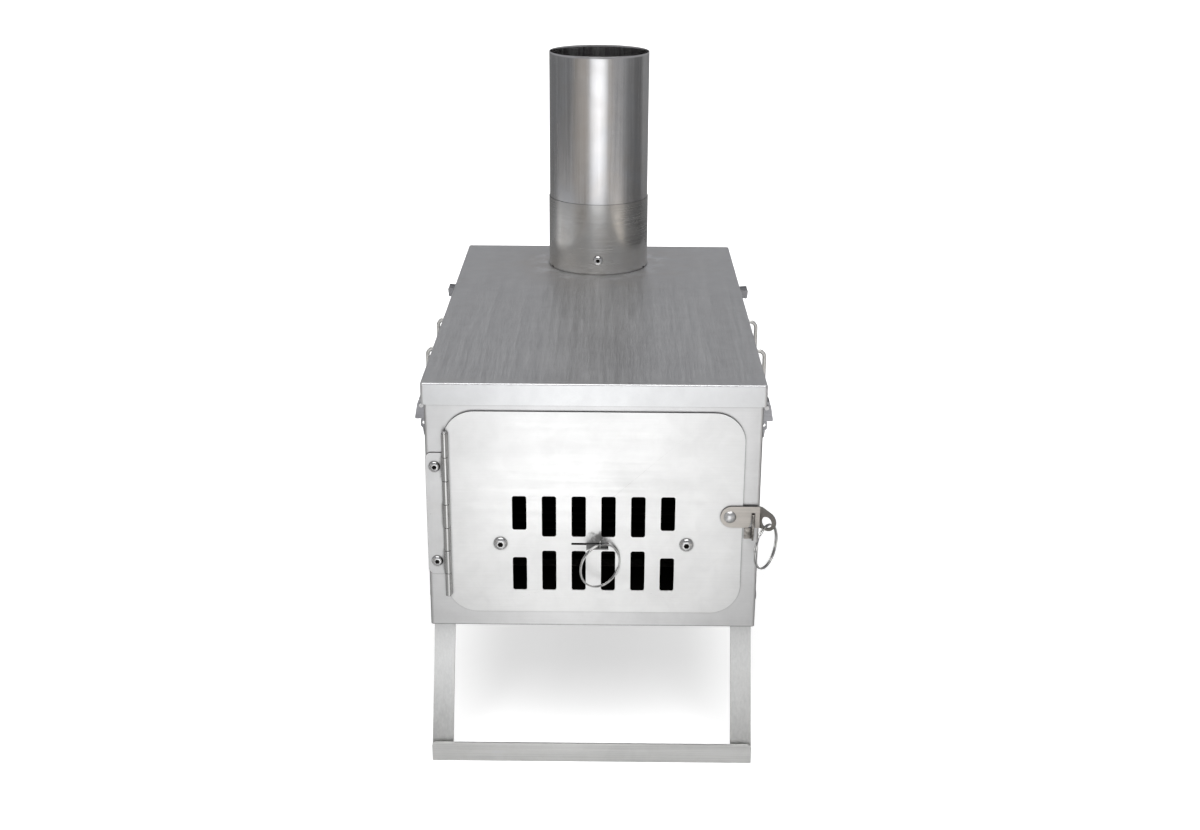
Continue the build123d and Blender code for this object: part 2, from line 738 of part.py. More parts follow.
# Legs: two posts of angle section on a foot rail, for the front; the rear set is its mirror
tilt = radians(leg_angle)
leg_plane = Plane((0, -leg_pivot_y, leg_pivot_z), x_dir=(1, 0, 0), z_dir=(0, -cos(tilt), sin(tilt)))
leg_length = (leg_pivot_z + leg_face_offset) / cos(tilt) + 6
lip_back = -foot_y + leg_sheet


def leg_post(side):
    """One post in its own plane: a flange on the pivot and a face in front of it."""
    flange_x = side * (leg_half_width - leg_sheet / 2)
    face_x = side * (leg_half_width - post_width / 2)
    flange_back = leg_face_offset - leg_flange
    with BuildPart() as post:
        with BuildSketch(leg_plane.offset(leg_face_offset - leg_sheet)):
            with Locations((face_x, -leg_length / 2 - 5)):
                Rectangle(post_width, leg_length - 10)
        extrude(amount=leg_sheet)
        with BuildSketch(leg_plane.offset(flange_back)):
            with Locations((flange_x, -leg_length / 2)):
                Rectangle(leg_sheet, leg_length)
        extrude(amount=leg_flange)
        with BuildSketch(Plane((flange_x - leg_sheet / 2, -leg_pivot_y, leg_pivot_z), x_dir=(0, 1, 0),
                               z_dir=(1, 0, 0))):
            Circle(-flange_back)
        extrude(amount=leg_sheet)
        with BuildSketch(Plane((flange_x - leg_sheet, -leg_pivot_y, leg_pivot_z), x_dir=(0, 1, 0),
                               z_dir=(1, 0, 0))):
            Circle(leg_pivot_shank / 2 + running_play)
        extrude(amount=2 * leg_sheet, mode=Mode.SUBTRACT)
        with Locations((0, lip_back - 20, leg_pivot_z / 2)):
            Box(2 * half_width, 40, 2 * leg_pivot_z, mode=Mode.SUBTRACT)
        with Locations((0, -foot_y, leg_sheet - 20)):
            Box(2 * half_width, foot_y, 40, mode=Mode.SUBTRACT)
    return post.part


with BuildPart() as foot_rail:
    with BuildSketch(front_plane(lip_back)):
        with Locations((0, foot_lip / 2)):
            Rectangle(2 * leg_half_width, foot_lip)
    extrude(amount=leg_sheet)
    fillet(foot_rail.edges().filter_by(Axis.Y).group_by(Axis.Z)[-1], foot_corner)
    sheet_box(-leg_half_width, leg_half_width, lip_back - leg_sheet, -foot_y + foot_flange, 0, leg_sheet)
    fillet(foot_rail.edges().filter_by(Axis.Z).group_by(Axis.Y)[-1], foot_corner)

for end_name, turned in (("front", False), ("rear", True)):
    pieces = {"leg_left": leg_post(-1), "leg_right": leg_post(1), "foot_rail": foot_rail.part}
    for name, piece in pieces.items():
        placed = mirror(piece, about=Plane.XZ) if turned else piece
        placed.label = f"{end_name}_{name}"
        export_step(placed, f"parts/{end_name}_{name}.step")

# Leg pivots: rivets through the side sheets, headed outside and inside
for end_name, y in (("front", -leg_pivot_y), ("rear", leg_pivot_y)):
    rivets = []
    for side in (-1, 1):
        inside = leg_half_width - leg_sheet - leg_pivot_play
        with BuildPart() as pivot:
            axis_plane = Plane((side * inside, y, leg_pivot_z), x_dir=(0, 1, 0), z_dir=(side, 0, 0))
            with BuildSketch(axis_plane):
                Circle(leg_pivot_shank / 2)
            extrude(amount=half_width + leg_pivot_play - inside)
            with BuildSketch(axis_plane):
                Circle(leg_pivot_head / 2)
            extrude(amount=-leg_pivot_tail_height)
            with BuildSketch(axis_plane.offset(half_width - inside)):
                Circle(leg_pivot_head / 2)
            extrude(amount=leg_pivot_head_height)
            fillet(pivot.faces().sort_by(Axis.X)[0 if side < 0 else -1].edges(), leg_pivot_round)
        rivets.append(pivot.part)
    leg_pivots = Compound(rivets, label=f"{end_name}_leg_pivots")
    export_step(leg_pivots, f"parts/{end_name}_leg_pivots.step")


# Lid clamps, drawn for the right side as distances out from the side sheet and heights over the pivot
def clamp_section(y, *points):
    """The outline of a clamp's cheek, on a plane across the stove."""
    with BuildSketch(Plane((side_face, y, clamp_pivot_z), x_dir=(1, 0, 0), z_dir=(0, -1, 0))) as outline:
        with BuildLine():
            Polyline(*points, close=True)
        make_face()
    return outline.sketch


def clamp_base(y):
    """A channel on the side sheet: a back and two cheeks with the pivot and a lock hole."""
    with BuildPart() as base:
        cheek = clamp_width / 2 - clamp_sheet - clamp_cheek_gap
        foot, head = clamp_base_outline[0][1], clamp_base_outline[-1][1]
        sheet_box(side_face, side_face + clamp_sheet, y - cheek, y + cheek, clamp_pivot_z + foot,
                  clamp_pivot_z + head)
        for low in (y + cheek, y - cheek + clamp_sheet):
            cheek_outline = clamp_section(low, *clamp_base_outline)
            extrude(cheek_outline, amount=clamp_sheet)
        with Locations(Location((side_face + clamp_pivot_out, y, clamp_pivot_z), (90, 0, 0))):
            Cylinder(clamp_pin / 2 + running_play, clamp_width, mode=Mode.SUBTRACT)
        lock_out, lock_height = clamp_lock_place
        with Locations(Location((side_face + lock_out, y, clamp_pivot_z + lock_height), (90, 0, 0))):
            Cylinder(clamp_lock_hole / 2, clamp_width, mode=Mode.SUBTRACT)
    return base.part


def clamp_lever(y, opened):
    """A channel lever over the base's cheeks, turned up about its pivot when opened."""
    with BuildPart() as lever:
        outer = clamp_width / 2
        for low in (y + outer, y - outer + clamp_sheet):
            cheek_outline = clamp_section(low, *clamp_lever_outline)
            extrude(cheek_outline, amount=clamp_sheet)
        web = clamp_section(y + outer, *clamp_web_outline)
        extrude(web, amount=clamp_width)
        with Locations(Location((side_face + clamp_pivot_out, y, clamp_pivot_z), (90, 0, 0))):
            Cylinder(clamp_pin / 2 + running_play, clamp_width + 2, mode=Mode.SUBTRACT)
    pivot = Axis((side_face + clamp_pivot_out, y, clamp_pivot_z), (0, 1, 0))
    return lever.part.rotate(pivot, -opened)


def clamp_rivet(y):
    """The clamp's pin, headed at both ends."""
    with BuildPart() as pin:
        with Locations(Location((side_face + clamp_pivot_out, y, clamp_pivot_z), (90, 0, 0))):
            head_place = clamp_width / 2 + clamp_pin_play + clamp_pin_head / 2
            Cylinder(clamp_pin / 2, 2 * head_place)
            with Locations((0, 0, head_place), (0, 0, -head_place)):
                Cylinder(clamp_pin * 0.8, clamp_pin_head)
    return pin.part


def handed(piece, side):
    return mirror(piece, about=Plane.YZ) if side < 0 else piece


clamp_pin_set = []
catch_set = []
for side, hand in ((-1, "left"), (1, "right")):
    for end_name, y, opened in (("front", clamp_front_y, 0), ("rear", clamp_rear_y, clamp_open_angle)):
        base = handed(clamp_base(y), side)
        base.label = f"clamp_base_{end_name}_{hand}"
        export_step(base, f"parts/{base.label}.step")
        lever = handed(clamp_lever(y, opened), side)
        lever.label = f"clamp_lever_{end_name}_{hand}"
        export_step(lever, f"parts/{lever.label}.step")
        clamp_pin_set.append(handed(clamp_rivet(y), side))
        with BuildPart() as catch:
            skirt_face = lid_width / 2
            half_catch = clamp_width / 2 - catch_narrower
            catch_low = lid_top - skirt_depth + catch_foot_rise
            sheet_box(skirt_face, skirt_face + clamp_sheet, y - half_catch, y + half_catch, catch_low,
                      lid_top - catch_top_drop)
            sheet_box(skirt_face, skirt_face + catch_reach, y - half_catch, y + half_catch, catch_low,
                      catch_low + clamp_sheet)
        catch_set.append(handed(catch.part, side))
clamp_pins = Compound(clamp_pin_set, label="clamp_pins")
export_step(clamp_pins, "parts/clamp_pins.step")
lid_catches = Compound(catch_set, label="lid_catches")
export_step(lid_catches, "parts/lid_catches.step")

# Carry handles: a bent wire on each side, hung in two clips
pivot_x = side_face + handle_pivot_out
clip_middle = handle_span / 2 - handle_bend - clip_length / 2 - clip_from_bend
for side, hand in ((-1, "left"), (1, "right")):
    with BuildPart() as handle:
        with BuildLine():
            inner_end = clip_middle - clip_length / 2 - handle_end_past_clip
            FilletPolyline(
                (pivot_x, -inner_end, handle_pivot_z),
                (pivot_x, -handle_span / 2, handle_pivot_z),
                (pivot_x + handle_reach, -handle_span / 2, handle_pivot_z),
                (pivot_x + handle_reach, -handle_span / 2, handle_pivot_z - handle_drop),
                (pivot_x + handle_reach, handle_span / 2, handle_pivot_z - handle_drop),
                (pivot_x + handle_reach, handle_span / 2, handle_pivot_z),
                (pivot_x, handle_span / 2, handle_pivot_z),
                (pivot_x, inner_end, handle_pivot_z),
                radius=handle_bend,
            )
        with BuildSketch(Plane((pivot_x, -inner_end, handle_pivot_z), x_dir=(1, 0, 0), z_dir=(0, -1, 0))):
            Circle(handle_wire / 2)
        sweep()
    placed = handed(handle.part, side)
    placed.label = f"carry_handle_{hand}"
    export_step(placed, f"parts/carry_handle_{hand}.step")
    clips = []
    for y in (-clip_middle, clip_middle):
        with BuildPart() as clip:
            sheet_box(side_face, side_face + clip_sheet, y - clip_length / 2, y + clip_length / 2,
                      handle_pivot_z - clip_below, handle_pivot_z + clip_above)
            roll = handle_wire / 2 + running_play + clip_sheet
            sheet_box(side_face, pivot_x, y - clip_length / 2, y + clip_length / 2,
                      handle_pivot_z + roll - clip_sheet, handle_pivot_z + roll)
            with Locations(Location((pivot_x, y, handle_pivot_z), (90, 0, 0))):
                Cylinder(roll, clip_length)
                Cylinder(handle_wire / 2 + running_play, clip_length + 1, mode=Mode.SUBTRACT)
        clips.append(handed(clip.part, side))
    handle_clips = Compound(clips, label=f"handle_clips_{hand}")
    export_step(handle_clips, f"parts/handle_clips_{hand}.step")
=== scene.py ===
import math
import bpy
import numpy as np
from bpy.props import FloatProperty, FloatVectorProperty, IntProperty, PointerProperty
from bpy.types import Operator, Panel, PropertyGroup
from mathutils import Matrix, Vector


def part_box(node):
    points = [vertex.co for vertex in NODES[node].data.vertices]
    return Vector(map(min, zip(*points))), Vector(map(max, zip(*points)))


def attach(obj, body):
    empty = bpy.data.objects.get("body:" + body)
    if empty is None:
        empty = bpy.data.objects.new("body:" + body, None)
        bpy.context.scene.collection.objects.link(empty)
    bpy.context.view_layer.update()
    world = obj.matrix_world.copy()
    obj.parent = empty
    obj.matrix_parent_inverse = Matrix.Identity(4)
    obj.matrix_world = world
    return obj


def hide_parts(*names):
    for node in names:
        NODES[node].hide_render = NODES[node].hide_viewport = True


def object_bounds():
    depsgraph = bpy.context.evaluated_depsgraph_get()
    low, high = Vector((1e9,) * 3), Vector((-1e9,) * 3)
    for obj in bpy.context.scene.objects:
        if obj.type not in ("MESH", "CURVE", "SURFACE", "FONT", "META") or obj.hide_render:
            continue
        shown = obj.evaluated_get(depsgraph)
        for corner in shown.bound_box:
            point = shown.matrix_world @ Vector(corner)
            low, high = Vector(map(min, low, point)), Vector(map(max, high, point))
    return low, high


bl_info = {
    "name": "Tent Wood Stove",
    "version": (1, 0, 0),
    "blender": (4, 5, 0),
    "location": "3D View > Sidebar > Stove",
    "description": "Dresses the frame of a small sheet-steel stove with finished pieces and brushed metal",
    "category": "Object",
}

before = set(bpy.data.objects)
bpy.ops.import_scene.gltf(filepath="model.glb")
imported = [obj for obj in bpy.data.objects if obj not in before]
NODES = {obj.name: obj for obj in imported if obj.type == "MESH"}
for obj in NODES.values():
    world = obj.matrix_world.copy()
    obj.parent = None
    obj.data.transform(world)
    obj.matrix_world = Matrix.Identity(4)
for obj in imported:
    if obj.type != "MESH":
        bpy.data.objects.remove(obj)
CAD_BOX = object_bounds()
FLUE_Y = sum(corner[1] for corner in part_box("flue_pipe")) / 2
FLUE_FOOT = (0.0, FLUE_Y, 0.268)
KNUCKLES = 7

# Planes between which the smoke film lies, just inside the sheets' outer faces
INNER_FRONT, INNER_REAR = -0.1858, 0.1856
DOOR_BACK = -0.18675

# What the steels carry besides their own colour
GRAIN_DEPTH = 0.00004
STAIN_GAINS = (0.62, 0.58, 0.52)
CLEANED = (0.97, 0.98, 1.0)
# Painted shade laid in corners and gaps between pieces
CORNER_SHADE = (0.030, 0.028, 0.027)
SOOT = (0.055, 0.050, 0.046)
PALE_SOOT = (0.045, 0.040, 0.036)
# Painted shade and dark reflection laid along cut edges and bends
EDGE_SHADE = (0.035, 0.033, 0.032)


def millimetres(name, text, default, **more):
    """A length property in metres, with its default given in millimetres."""
    return FloatProperty(name=name, description=text, default=default / 1000, unit="LENGTH", precision=5, **more)


def colour(name, text, default):
    """A linear colour property."""
    return FloatVectorProperty(name=name, description=text, default=default, subtype="COLOR", min=0, max=1)


class StoveSizes(PropertyGroup):
    """Sizes of the pieces that are drawn here over the frame."""
    pipe_radius: millimetres("Pipe radius", "Outside radius of the flue pipe", 40.8)
    pipe_wall: millimetres("Pipe wall", "Sheet of the flue pipe", 0.5)
    pipe_wave: millimetres("Pipe wave", "How far the rolled pipe is out of round", 0.07)
    ring_radius: millimetres("Ring radius", "Radius of a split ring to the middle of its wire", 15.45)
    ring_wire: millimetres("Ring wire", "Thickness of one turn of a split ring along its axis", 1.15)
    ring_flat: millimetres("Ring flat", "Width of the flattened wire, outwards from the ring's middle", 1.1)
    knuckle: millimetres("Knuckle", "Diameter of the hinge's rolled knuckles", 4.2)
    knuckle_gap: millimetres("Knuckle gap", "Gap between two knuckles", 0.15)
    leaf_corner: millimetres("Leaf corner", "Corner radius of the hinge leaf on the frame", 4.0)
    small_head: millimetres("Small head", "Width of the small screws' button heads", 7.6)
    guide_head: millimetres("Guide head", "Width of the heads of the draft slider's guide screws", 9.5)
    lever_sheet: millimetres("Lever sheet", "Sheet of the door latch", 1.2)
    lever_rounding: millimetres("Lever rounding", "How far the latch's round end stands out past its pivot", 6.5)
    ear_radius: millimetres("Ear radius", "Outside radius of the latch's ear", 7.0)
    ear_hole: millimetres("Ear hole", "Diameter of the hole in the ear", 8.0)
    edge_break: millimetres("Edge break", "Width of the worn edge along cut sheet", 0.16)
    steps_round: IntProperty(name="Steps round", description="Facets round the pipe", default=192, min=24)


class StoveColours(PropertyGroup):
    """Base colours of the steels."""
    door: colour("Door steel", "Brushed sheet of the door", (0.825, 0.825, 0.82))
    panel: colour("Panel steel", "Brushed sheet of the firebox", (0.74, 0.74, 0.74))
    lid: colour("Lid steel", "Finely brushed sheet of the lid", (0.76, 0.765, 0.77))
    flue: colour("Pipe steel", "Rolled sheet of the flue pipe", (0.64, 0.64, 0.65))
    collar: colour("Collar steel", "Brushed sheet of the flue collar", (0.545, 0.54, 0.53))
    leg: colour("Leg steel", "Brushed sheet of the legs", (0.58, 0.58, 0.57))
    latch: colour("Latch steel", "Duller sheet of the latch and clamps", (0.52, 0.49, 0.455))
    fastener: colour("Fastener steel", "Polished screws, rivets and pins", (0.70, 0.70, 0.70))
    wire: colour("Wire steel", "Drawn wire of rings and handles", (0.72, 0.72, 0.71))
    smoke: colour("Smoke film", "Dark film inside the firebox", (0.010, 0.009, 0.008))
    straw: colour("Straw tint", "Colour that heat gives the steel", (0.62, 0.50, 0.36))


class StudioSettings(PropertyGroup):
    """The camera and the lamps."""
    lens: FloatProperty(name="Lens", description="Focal length for a 36 mm sensor", default=46.26)
    position: FloatVectorProperty(name="Position", description="Where the camera stands", subtype="TRANSLATION",
                                  default=(0.0102, -1.1482, 0.6012))
    pitch: FloatProperty(name="Pitch", description="How far the camera looks down", default=0.3537, unit="ROTATION")
    yaw: FloatProperty(name="Yaw", description="How far the camera turns to the right", default=-0.0062,
                       unit="ROTATION")
    roll: FloatProperty(name="Roll", description="Turn of the camera about its line of sight", default=0.0060,
                        unit="ROTATION")
    floor: colour("Floor", "Colour of the pale floor", (0.90, 0.90, 0.90))
    key_power: FloatProperty(name="Key power", description="Power of the large lamp above the front", default=46.0)
    side_power: FloatProperty(name="Side power", description="Power of the two lamps at the sides", default=10.0)


# Surfaces


def mesh_from(name, points, faces):
    """A mesh from an array of points (n, 3) and rows or lists of the points of each face."""
    mesh = bpy.data.meshes.new(name)
    mesh.from_pydata(points.tolist(), [], faces if isinstance(faces, list) else faces.tolist())
    mesh.polygons.foreach_set("use_smooth", np.ones(len(mesh.polygons), bool))
    mesh.update()
    return mesh


def grid_faces(rows, columns, closed_rows, closed_columns, first=0):
    """Faces of a rows by columns grid of points, joined round where a direction is closed."""
    i = np.arange(rows if closed_rows else rows - 1)[:, None]
    j = np.arange(columns if closed_columns else columns - 1)[None, :]
    i_next, j_next = (i + 1) % rows, (j + 1) % columns
    corners = [i * columns + j, i * columns + j_next, i_next * columns + j_next, i_next * columns + j]
    return np.stack([np.broadcast_to(c, (i.shape[0], j.shape[1])) for c in corners], -1).reshape(-1, 4) + first


def joined(parts):
    """One array of points, one of faces and one of material numbers from (points, faces, number) parts."""
    points, faces, marks, first = [], [], [], 0
    for part_points, part_faces, number in parts:
        points.append(part_points)
        faces.append(part_faces + first)
        marks.append(np.full(len(part_faces), number) if np.isscalar(number) else number)
        first += len(part_points)
    return np.concatenate(points), np.concatenate(faces), np.concatenate(marks)


def add_piece(name, points, faces, body, replaced, materials, marks=None):
    """Puts a mesh in the scene as a finished piece that rides on a body and stands for CAD nodes."""
    piece = bpy.data.objects.new(name, mesh_from(name, points, faces))
    if marks is not None:
        piece.data.polygons.foreach_set("material_index", marks.astype(np.int32))
    bpy.context.scene.collection.objects.link(piece)
    for material in materials:
        piece.data.materials.append(material)
    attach(piece, body)
    if replaced:
        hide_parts(*replaced)
    return piece


def rolled_tube(profile, centre, steps, wave=None, seam=None):
    """A closed profile of (radius, height) carried round a vertical axis: x = r cos a, y = r sin a, z = h.

    wave(angle, height) is added to the radius, and so is a low weld bead, a bell curve of the angle from the seam.
    """
    bead_height, bead_width = 0.00016, 0.022
    angle = np.linspace(0, 2 * np.pi, steps, endpoint=False)[None, :]
    radius = np.array([p[0] for p in profile])[:, None] + np.zeros_like(angle)
    height = np.array([p[1] for p in profile])[:, None] + np.zeros_like(angle)
    if wave is not None:
        radius = radius + wave(angle, height)
    if seam is not None:
        off = (angle - seam + np.pi) % (2 * np.pi) - np.pi
        radius = radius + bead_height * np.exp(-(off / bead_width) ** 2)
    x = centre[0] + radius * np.cos(angle)
    y = centre[1] + radius * np.sin(angle)
    points = np.stack([x, y, height], -1).reshape(-1, 3)
    return points, grid_faces(len(profile), steps, True, True)


def cut_sheet(outlines, thickness, edge, place, across, up, out):
    """A plate cut from sheet: a filled curve of closed outlines, holes after the rim, with chamfered edges.

    A point (u, v, w) of the plate goes to place + u * across + v * up + w * out, with w from 0 to the thickness.
    """
    curve = bpy.data.curves.new("outline", "CURVE")
    curve.dimensions = "2D"
    curve.fill_mode = "BOTH"
    curve.extrude = thickness / 2 - edge
    curve.bevel_depth = edge
    curve.bevel_resolution = 1
    curve.offset = -edge
    for outline in outlines:
        spline = curve.splines.new("POLY")
        spline.points.add(len(outline) - 1)
        spline.points.foreach_set("co", np.c_[outline, np.zeros(len(outline)), np.ones(len(outline))].ravel())
        spline.use_cyclic_u = True
    holder = bpy.data.objects.new("outline", curve)
    mesh = bpy.data.meshes.new_from_object(holder)
    flat = np.zeros(3 * len(mesh.vertices))
    mesh.vertices.foreach_get("co", flat)
    flat = flat.reshape(-1, 3)
    faces = [tuple(p.vertices) for p in mesh.polygons]
    bpy.data.objects.remove(holder)
    bpy.data.meshes.remove(mesh)
    bpy.data.curves.remove(curve)
    across, up, out = (np.array(v, float) for v in (across, up, out))
    points = place + flat[:, :1] * across + flat[:, 1:2] * up + (flat[:, 2:] + thickness / 2) * out
    corners = points[np.array([face[:3] for face in faces])]
    normal = np.cross(corners[:, 1] - corners[:, 0], corners[:, 2] - corners[:, 0])
    cut = np.abs(normal @ out) < 0.8 * np.linalg.norm(normal, axis=1)
    if np.dot(np.cross(across, up), out) < 0:
        faces = [face[::-1] for face in faces]
    return points, faces, cut


def arc(centre, radius, start, end, count):
    """Points on a circle between two angles in degrees."""
    turn = np.radians(np.linspace(start, end, count))
    return [(centre[0] + radius * math.cos(t), centre[1] + radius * math.sin(t)) for t in turn]


def button_screw(head, height, socket, shank, length, nut):
    """A button-head screw on the z axis with a six-sided socket, and its nut: radii as rows over a turn.

    The rows are the shank's and the dome's circles, then the socket's hexagon a / cos((t mod 60) - 30). A nut is
    (width across its flats, height, distance under the head). What lies in the socket gets the second material, which
    paints the shade in the socket.
    """
    facets, all_bright = 48, 99
    turn = np.linspace(0, 2 * np.pi, facets, endpoint=False)
    hexagon = math.cos(math.pi / 6) / np.cos((turn % (np.pi / 3)) - np.pi / 6)
    mouth = socket / 2 * hexagon
    dome = [(head / 2, 0.0), (head / 2, height * 0.22), (head * 0.487, height * 0.38), (head * 0.45, height * 0.58),
            (head * 0.39, height * 0.77), (head * 0.31, height * 0.92), (head * 0.24, height)]
    shaft = [(0.00002, -length), (shank / 2 - 0.0002, -length), (shank / 2, -length + 0.0002), (shank / 2, 0.0)]
    hollow = [(mouth * 1.10, height), (mouth, height - 0.00015), (mouth * 0.97, height * 0.15),
              (0.00003, height * 0.05)]
    bodies = [(shaft + dome + hollow, False, len(shaft + dome))]
    if nut:
        width, deep, start = nut
        side = width / 2 / math.cos(math.pi / 6) * hexagon
        bodies.append(([(shank / 2, -start - deep), (side * 0.93, -start - deep), (side, -start - deep * 0.9),
                        (side, -start - deep * 0.1), (side * 0.93, -start), (shank / 2, -start)], True, all_bright))
    parts = []
    for rows, closed, dark_from in bodies:
        points = np.concatenate([np.stack([r * np.cos(turn), r * np.sin(turn), np.full(facets, z)], -1)
                                 for r, z in rows])
        faces = grid_faces(len(rows), facets, closed, True)
        marks = (np.arange(len(faces)) // facets >= dark_from).astype(int)
        parts.append((points, faces, marks))
    return parts


def rounded_outline(left, right, low, high, corner):
    """A rectangle in x and z, clockwise from the front, with its two left corners on arcs of the corner radius."""
    turn = np.linspace(0, np.pi / 2, 8)
    upper = [(left + corner * (1 - math.cos(t)), high - corner * (1 - math.sin(t))) for t in turn]
    lower = [(left + corner * (1 - math.sin(t)), low + corner * (1 - math.cos(t))) for t in turn]
    return np.array(upper + [(right, high), (right, low)] + lower)


def prism(outline, front, back, edge):
    """A plate between two y values: rings from the middle of its front over a chamfer to the middle of its back."""
    middle = outline.mean(0)
    inset = outline - np.sign(outline - middle) * edge
    flat = inset - np.sign(outline - middle) * edge * 0.5
    rings = ((middle + (flat - middle) * 0.01, front), (flat, front), (inset, front), (outline, front + edge),
             (outline, front + edge * 1.5), (outline, back), (flat, back), (middle + (flat - middle) * 0.01, back))
    rows = [np.stack([ring[:, 0], np.full(len(ring), y), ring[:, 1]], -1) for ring, y in rings]
    return np.concatenate(rows), grid_faces(len(rows), len(outline), False, True)


def wall_profile(outer, wall, low, high, rows, lip):
    """The closed outline of a thin wall with rounded rims: up the outside, over the rim and down the inside."""
    turn = np.linspace(0, np.pi, 7)
    middle = outer - wall / 2
    up = [(outer, z) for z in np.linspace(low + lip, high - lip, rows)]
    over = [(middle + wall / 2 * math.cos(t), high - lip + lip * math.sin(t)) for t in turn[1:-1]]
    down = [(outer - wall, z) for z in np.linspace(high - lip, low + lip, rows)]
    under = [(middle - wall / 2 * math.cos(t), low + lip - lip * math.sin(t)) for t in turn[1:-1]]
    return up + over + down + under


def wire_sections(path, side, across, deep, sides):
    """Flattened round sections along a path: path + across cos a * u + deep sin a * v, and the path's direction.

    u is the given side made square to the path's direction, and v is square to both.
    """
    ahead = np.gradient(path, axis=0)
    ahead /= np.linalg.norm(ahead, axis=1)[:, None]
    side = np.broadcast_to(side, path.shape)
    u = side - ahead * np.sum(side * ahead, axis=1)[:, None]
    u /= np.linalg.norm(u, axis=1)[:, None]
    v = np.cross(ahead, u)
    angle = np.linspace(0, 2 * np.pi, sides, endpoint=False)[None, :, None]
    return path[:, None, :] + across * np.cos(angle) * u[:, None, :] + deep * np.sin(angle) * v[:, None, :], ahead


def capped(sections, path, ahead, reach):
    """Closes a run of sections with rounded caps, whose rings are the end ring drawn in towards its middle."""
    caps = {}
    for end, sign in ((0, -1), (-1, 1)):
        caps[end] = [path[end] + sign * ahead[end] * reach * go + (sections[end] - path[end]) * shrink
                     for shrink, go in ((0.78, 0.55), (0.40, 0.90), (0.02, 1.0))]
    return np.concatenate([np.array(caps[0][::-1]), sections, np.array(caps[-1])])


def smoothstep(t):
    """Rises from 0 to 1 with level ends: 3t^2 - 2t^3."""
    t = np.clip(t, 0, 1)
    return t * t * (3 - 2 * t)


def split_ring(centre, across, wire, flat, radius, start):
    """Two turns of flattened wire side by side that change lanes once.

    A point at turn t is centre + radius (cos t * out + sin t * up) + lane(t) * across, and the lane steps over by
    one wire at half way.
    """
    across = np.array(across, float)
    up = np.array((0.0, 0.0, 1.0))
    out = np.cross(up, across)
    sides, end_gap = 14, 0.35
    t = np.linspace(start, start + 4 * np.pi - end_gap, 260)[:, None]
    lane = (smoothstep((t - start - 2 * np.pi + 0.55) / 0.7) - 0.5) * wire
    path = np.array(centre) + radius * (np.cos(t) * out + np.sin(t) * up) + lane * across
    sections, ahead = wire_sections(path, across, wire / 2 * 0.97, flat / 2, sides)
    sections = capped(sections, path, ahead, wire / 2)
    return sections.reshape(-1, 3), grid_faces(len(sections), sides, False, True)


# Shader helpers


def new_group(name, maker, outputs, inputs):
    """A shader group whose nodes a maker draws from the named inputs, and whose named outputs are what it returns."""
    group = bpy.data.node_groups.new(name, "ShaderNodeTree")
    for label, default in inputs.items():
        kind = "NodeSocketVector" if default is None else "NodeSocketFloat"
        socket = group.interface.new_socket(name=label, in_out="INPUT", socket_type=kind)
        if default is not None:
            socket.default_value = default
    for label in outputs:
        group.interface.new_socket(name=label, in_out="OUTPUT", socket_type="NodeSocketFloat")
    ends = group.nodes.new("NodeGroupInput").outputs, group.nodes.new("NodeGroupOutput").inputs
    for label, value in zip(outputs, maker(group, ends[0])):
        group.links.new(value, ends[1][label])
    return group


def new_material(name):
    """A material with its tree, its Principled shader's inputs and the places on the object."""
    material = bpy.data.materials.new(name)
    material.use_nodes = True
    tree = material.node_tree
    return material, tree, tree.nodes["Principled BSDF"].inputs, tree.nodes.new("ShaderNodeTexCoord").outputs


def add_node(tree, kind, settings=(), **inputs):
    """A node of that kind, with its settings made and its inputs set or linked, i0 and i1 by their numbers."""
    node = tree.nodes.new(kind)
    for key, value in dict(settings).items():
        setattr(node, key, value)
    for key, value in inputs.items():
        socket = node.inputs[int(key[1:])] if key in ("i0", "i1") else node.inputs[key.replace("_", " ")]
        if isinstance(value, bpy.types.NodeSocket):
            tree.links.new(value, socket)
        else:
            socket.default_value = value
    return node


def arithmetic(tree, operation, a, b=0.0):
    """A Math node's result."""
    return add_node(tree, "ShaderNodeMath", {"operation": operation}, i0=a, i1=b).outputs[0]


def product(tree, value, *more):
    """All the values multiplied."""
    for factor in more:
        value = arithmetic(tree, "MULTIPLY", value, factor)
    return value


def vector_math(tree, operation, a, b=(0.0, 0.0, 0.0)):
    """A Vector Math node's result, which is a value for a length or a dot product and else a vector."""
    node = add_node(tree, "ShaderNodeVectorMath", {"operation": operation}, i0=a, i1=b)
    return node.outputs["Value" if operation in ("LENGTH", "DOT_PRODUCT") else "Vector"]


def distance(tree, place, centre, stretch=(1.0, 1.0, 1.0)):
    """How far a place is from a centre, with each axis stretched first."""
    shift = vector_math(tree, "SUBTRACT", place, centre)
    return vector_math(tree, "LENGTH", vector_math(tree, "MULTIPLY", shift, stretch))


def ranged(tree, value, low, high, to_low=0.0, to_high=1.0):
    """A value carried from one range to another with soft ends."""
    return add_node(tree, "ShaderNodeMapRange", {"interpolation_type": "SMOOTHSTEP"}, Value=value, From_Min=low,
                    From_Max=high, To_Min=to_low, To_Max=to_high).outputs[0]


def straight(tree, value, to_low, to_high):
    """A value from 0 to 1 carried to another range."""
    return add_node(tree, "ShaderNodeMapRange", Value=value, To_Min=to_low, To_Max=to_high).outputs[0]


def opaque(colour):
    """A colour with its alpha."""
    return tuple(colour) + (1.0,)


def shade(colour, *gains):
    """A colour times one gain, or times a gain for each part, and no brighter than 1."""
    return tuple(min(1.0, c * g) for c, g in zip(colour, gains * 3 if len(gains) == 1 else gains))


def mixed(tree, factor, a, b, blend="MIX"):
    """A Mix node's colour."""
    node = add_node(tree, "ShaderNodeMix", {"data_type": "RGBA", "blend_type": blend})
    for index, value in ((0, factor), (6, a), (7, b)):
        if isinstance(value, bpy.types.NodeSocket):
            tree.links.new(value, node.inputs[index])
        else:
            node.inputs[index].default_value = value
    return node.outputs[2]


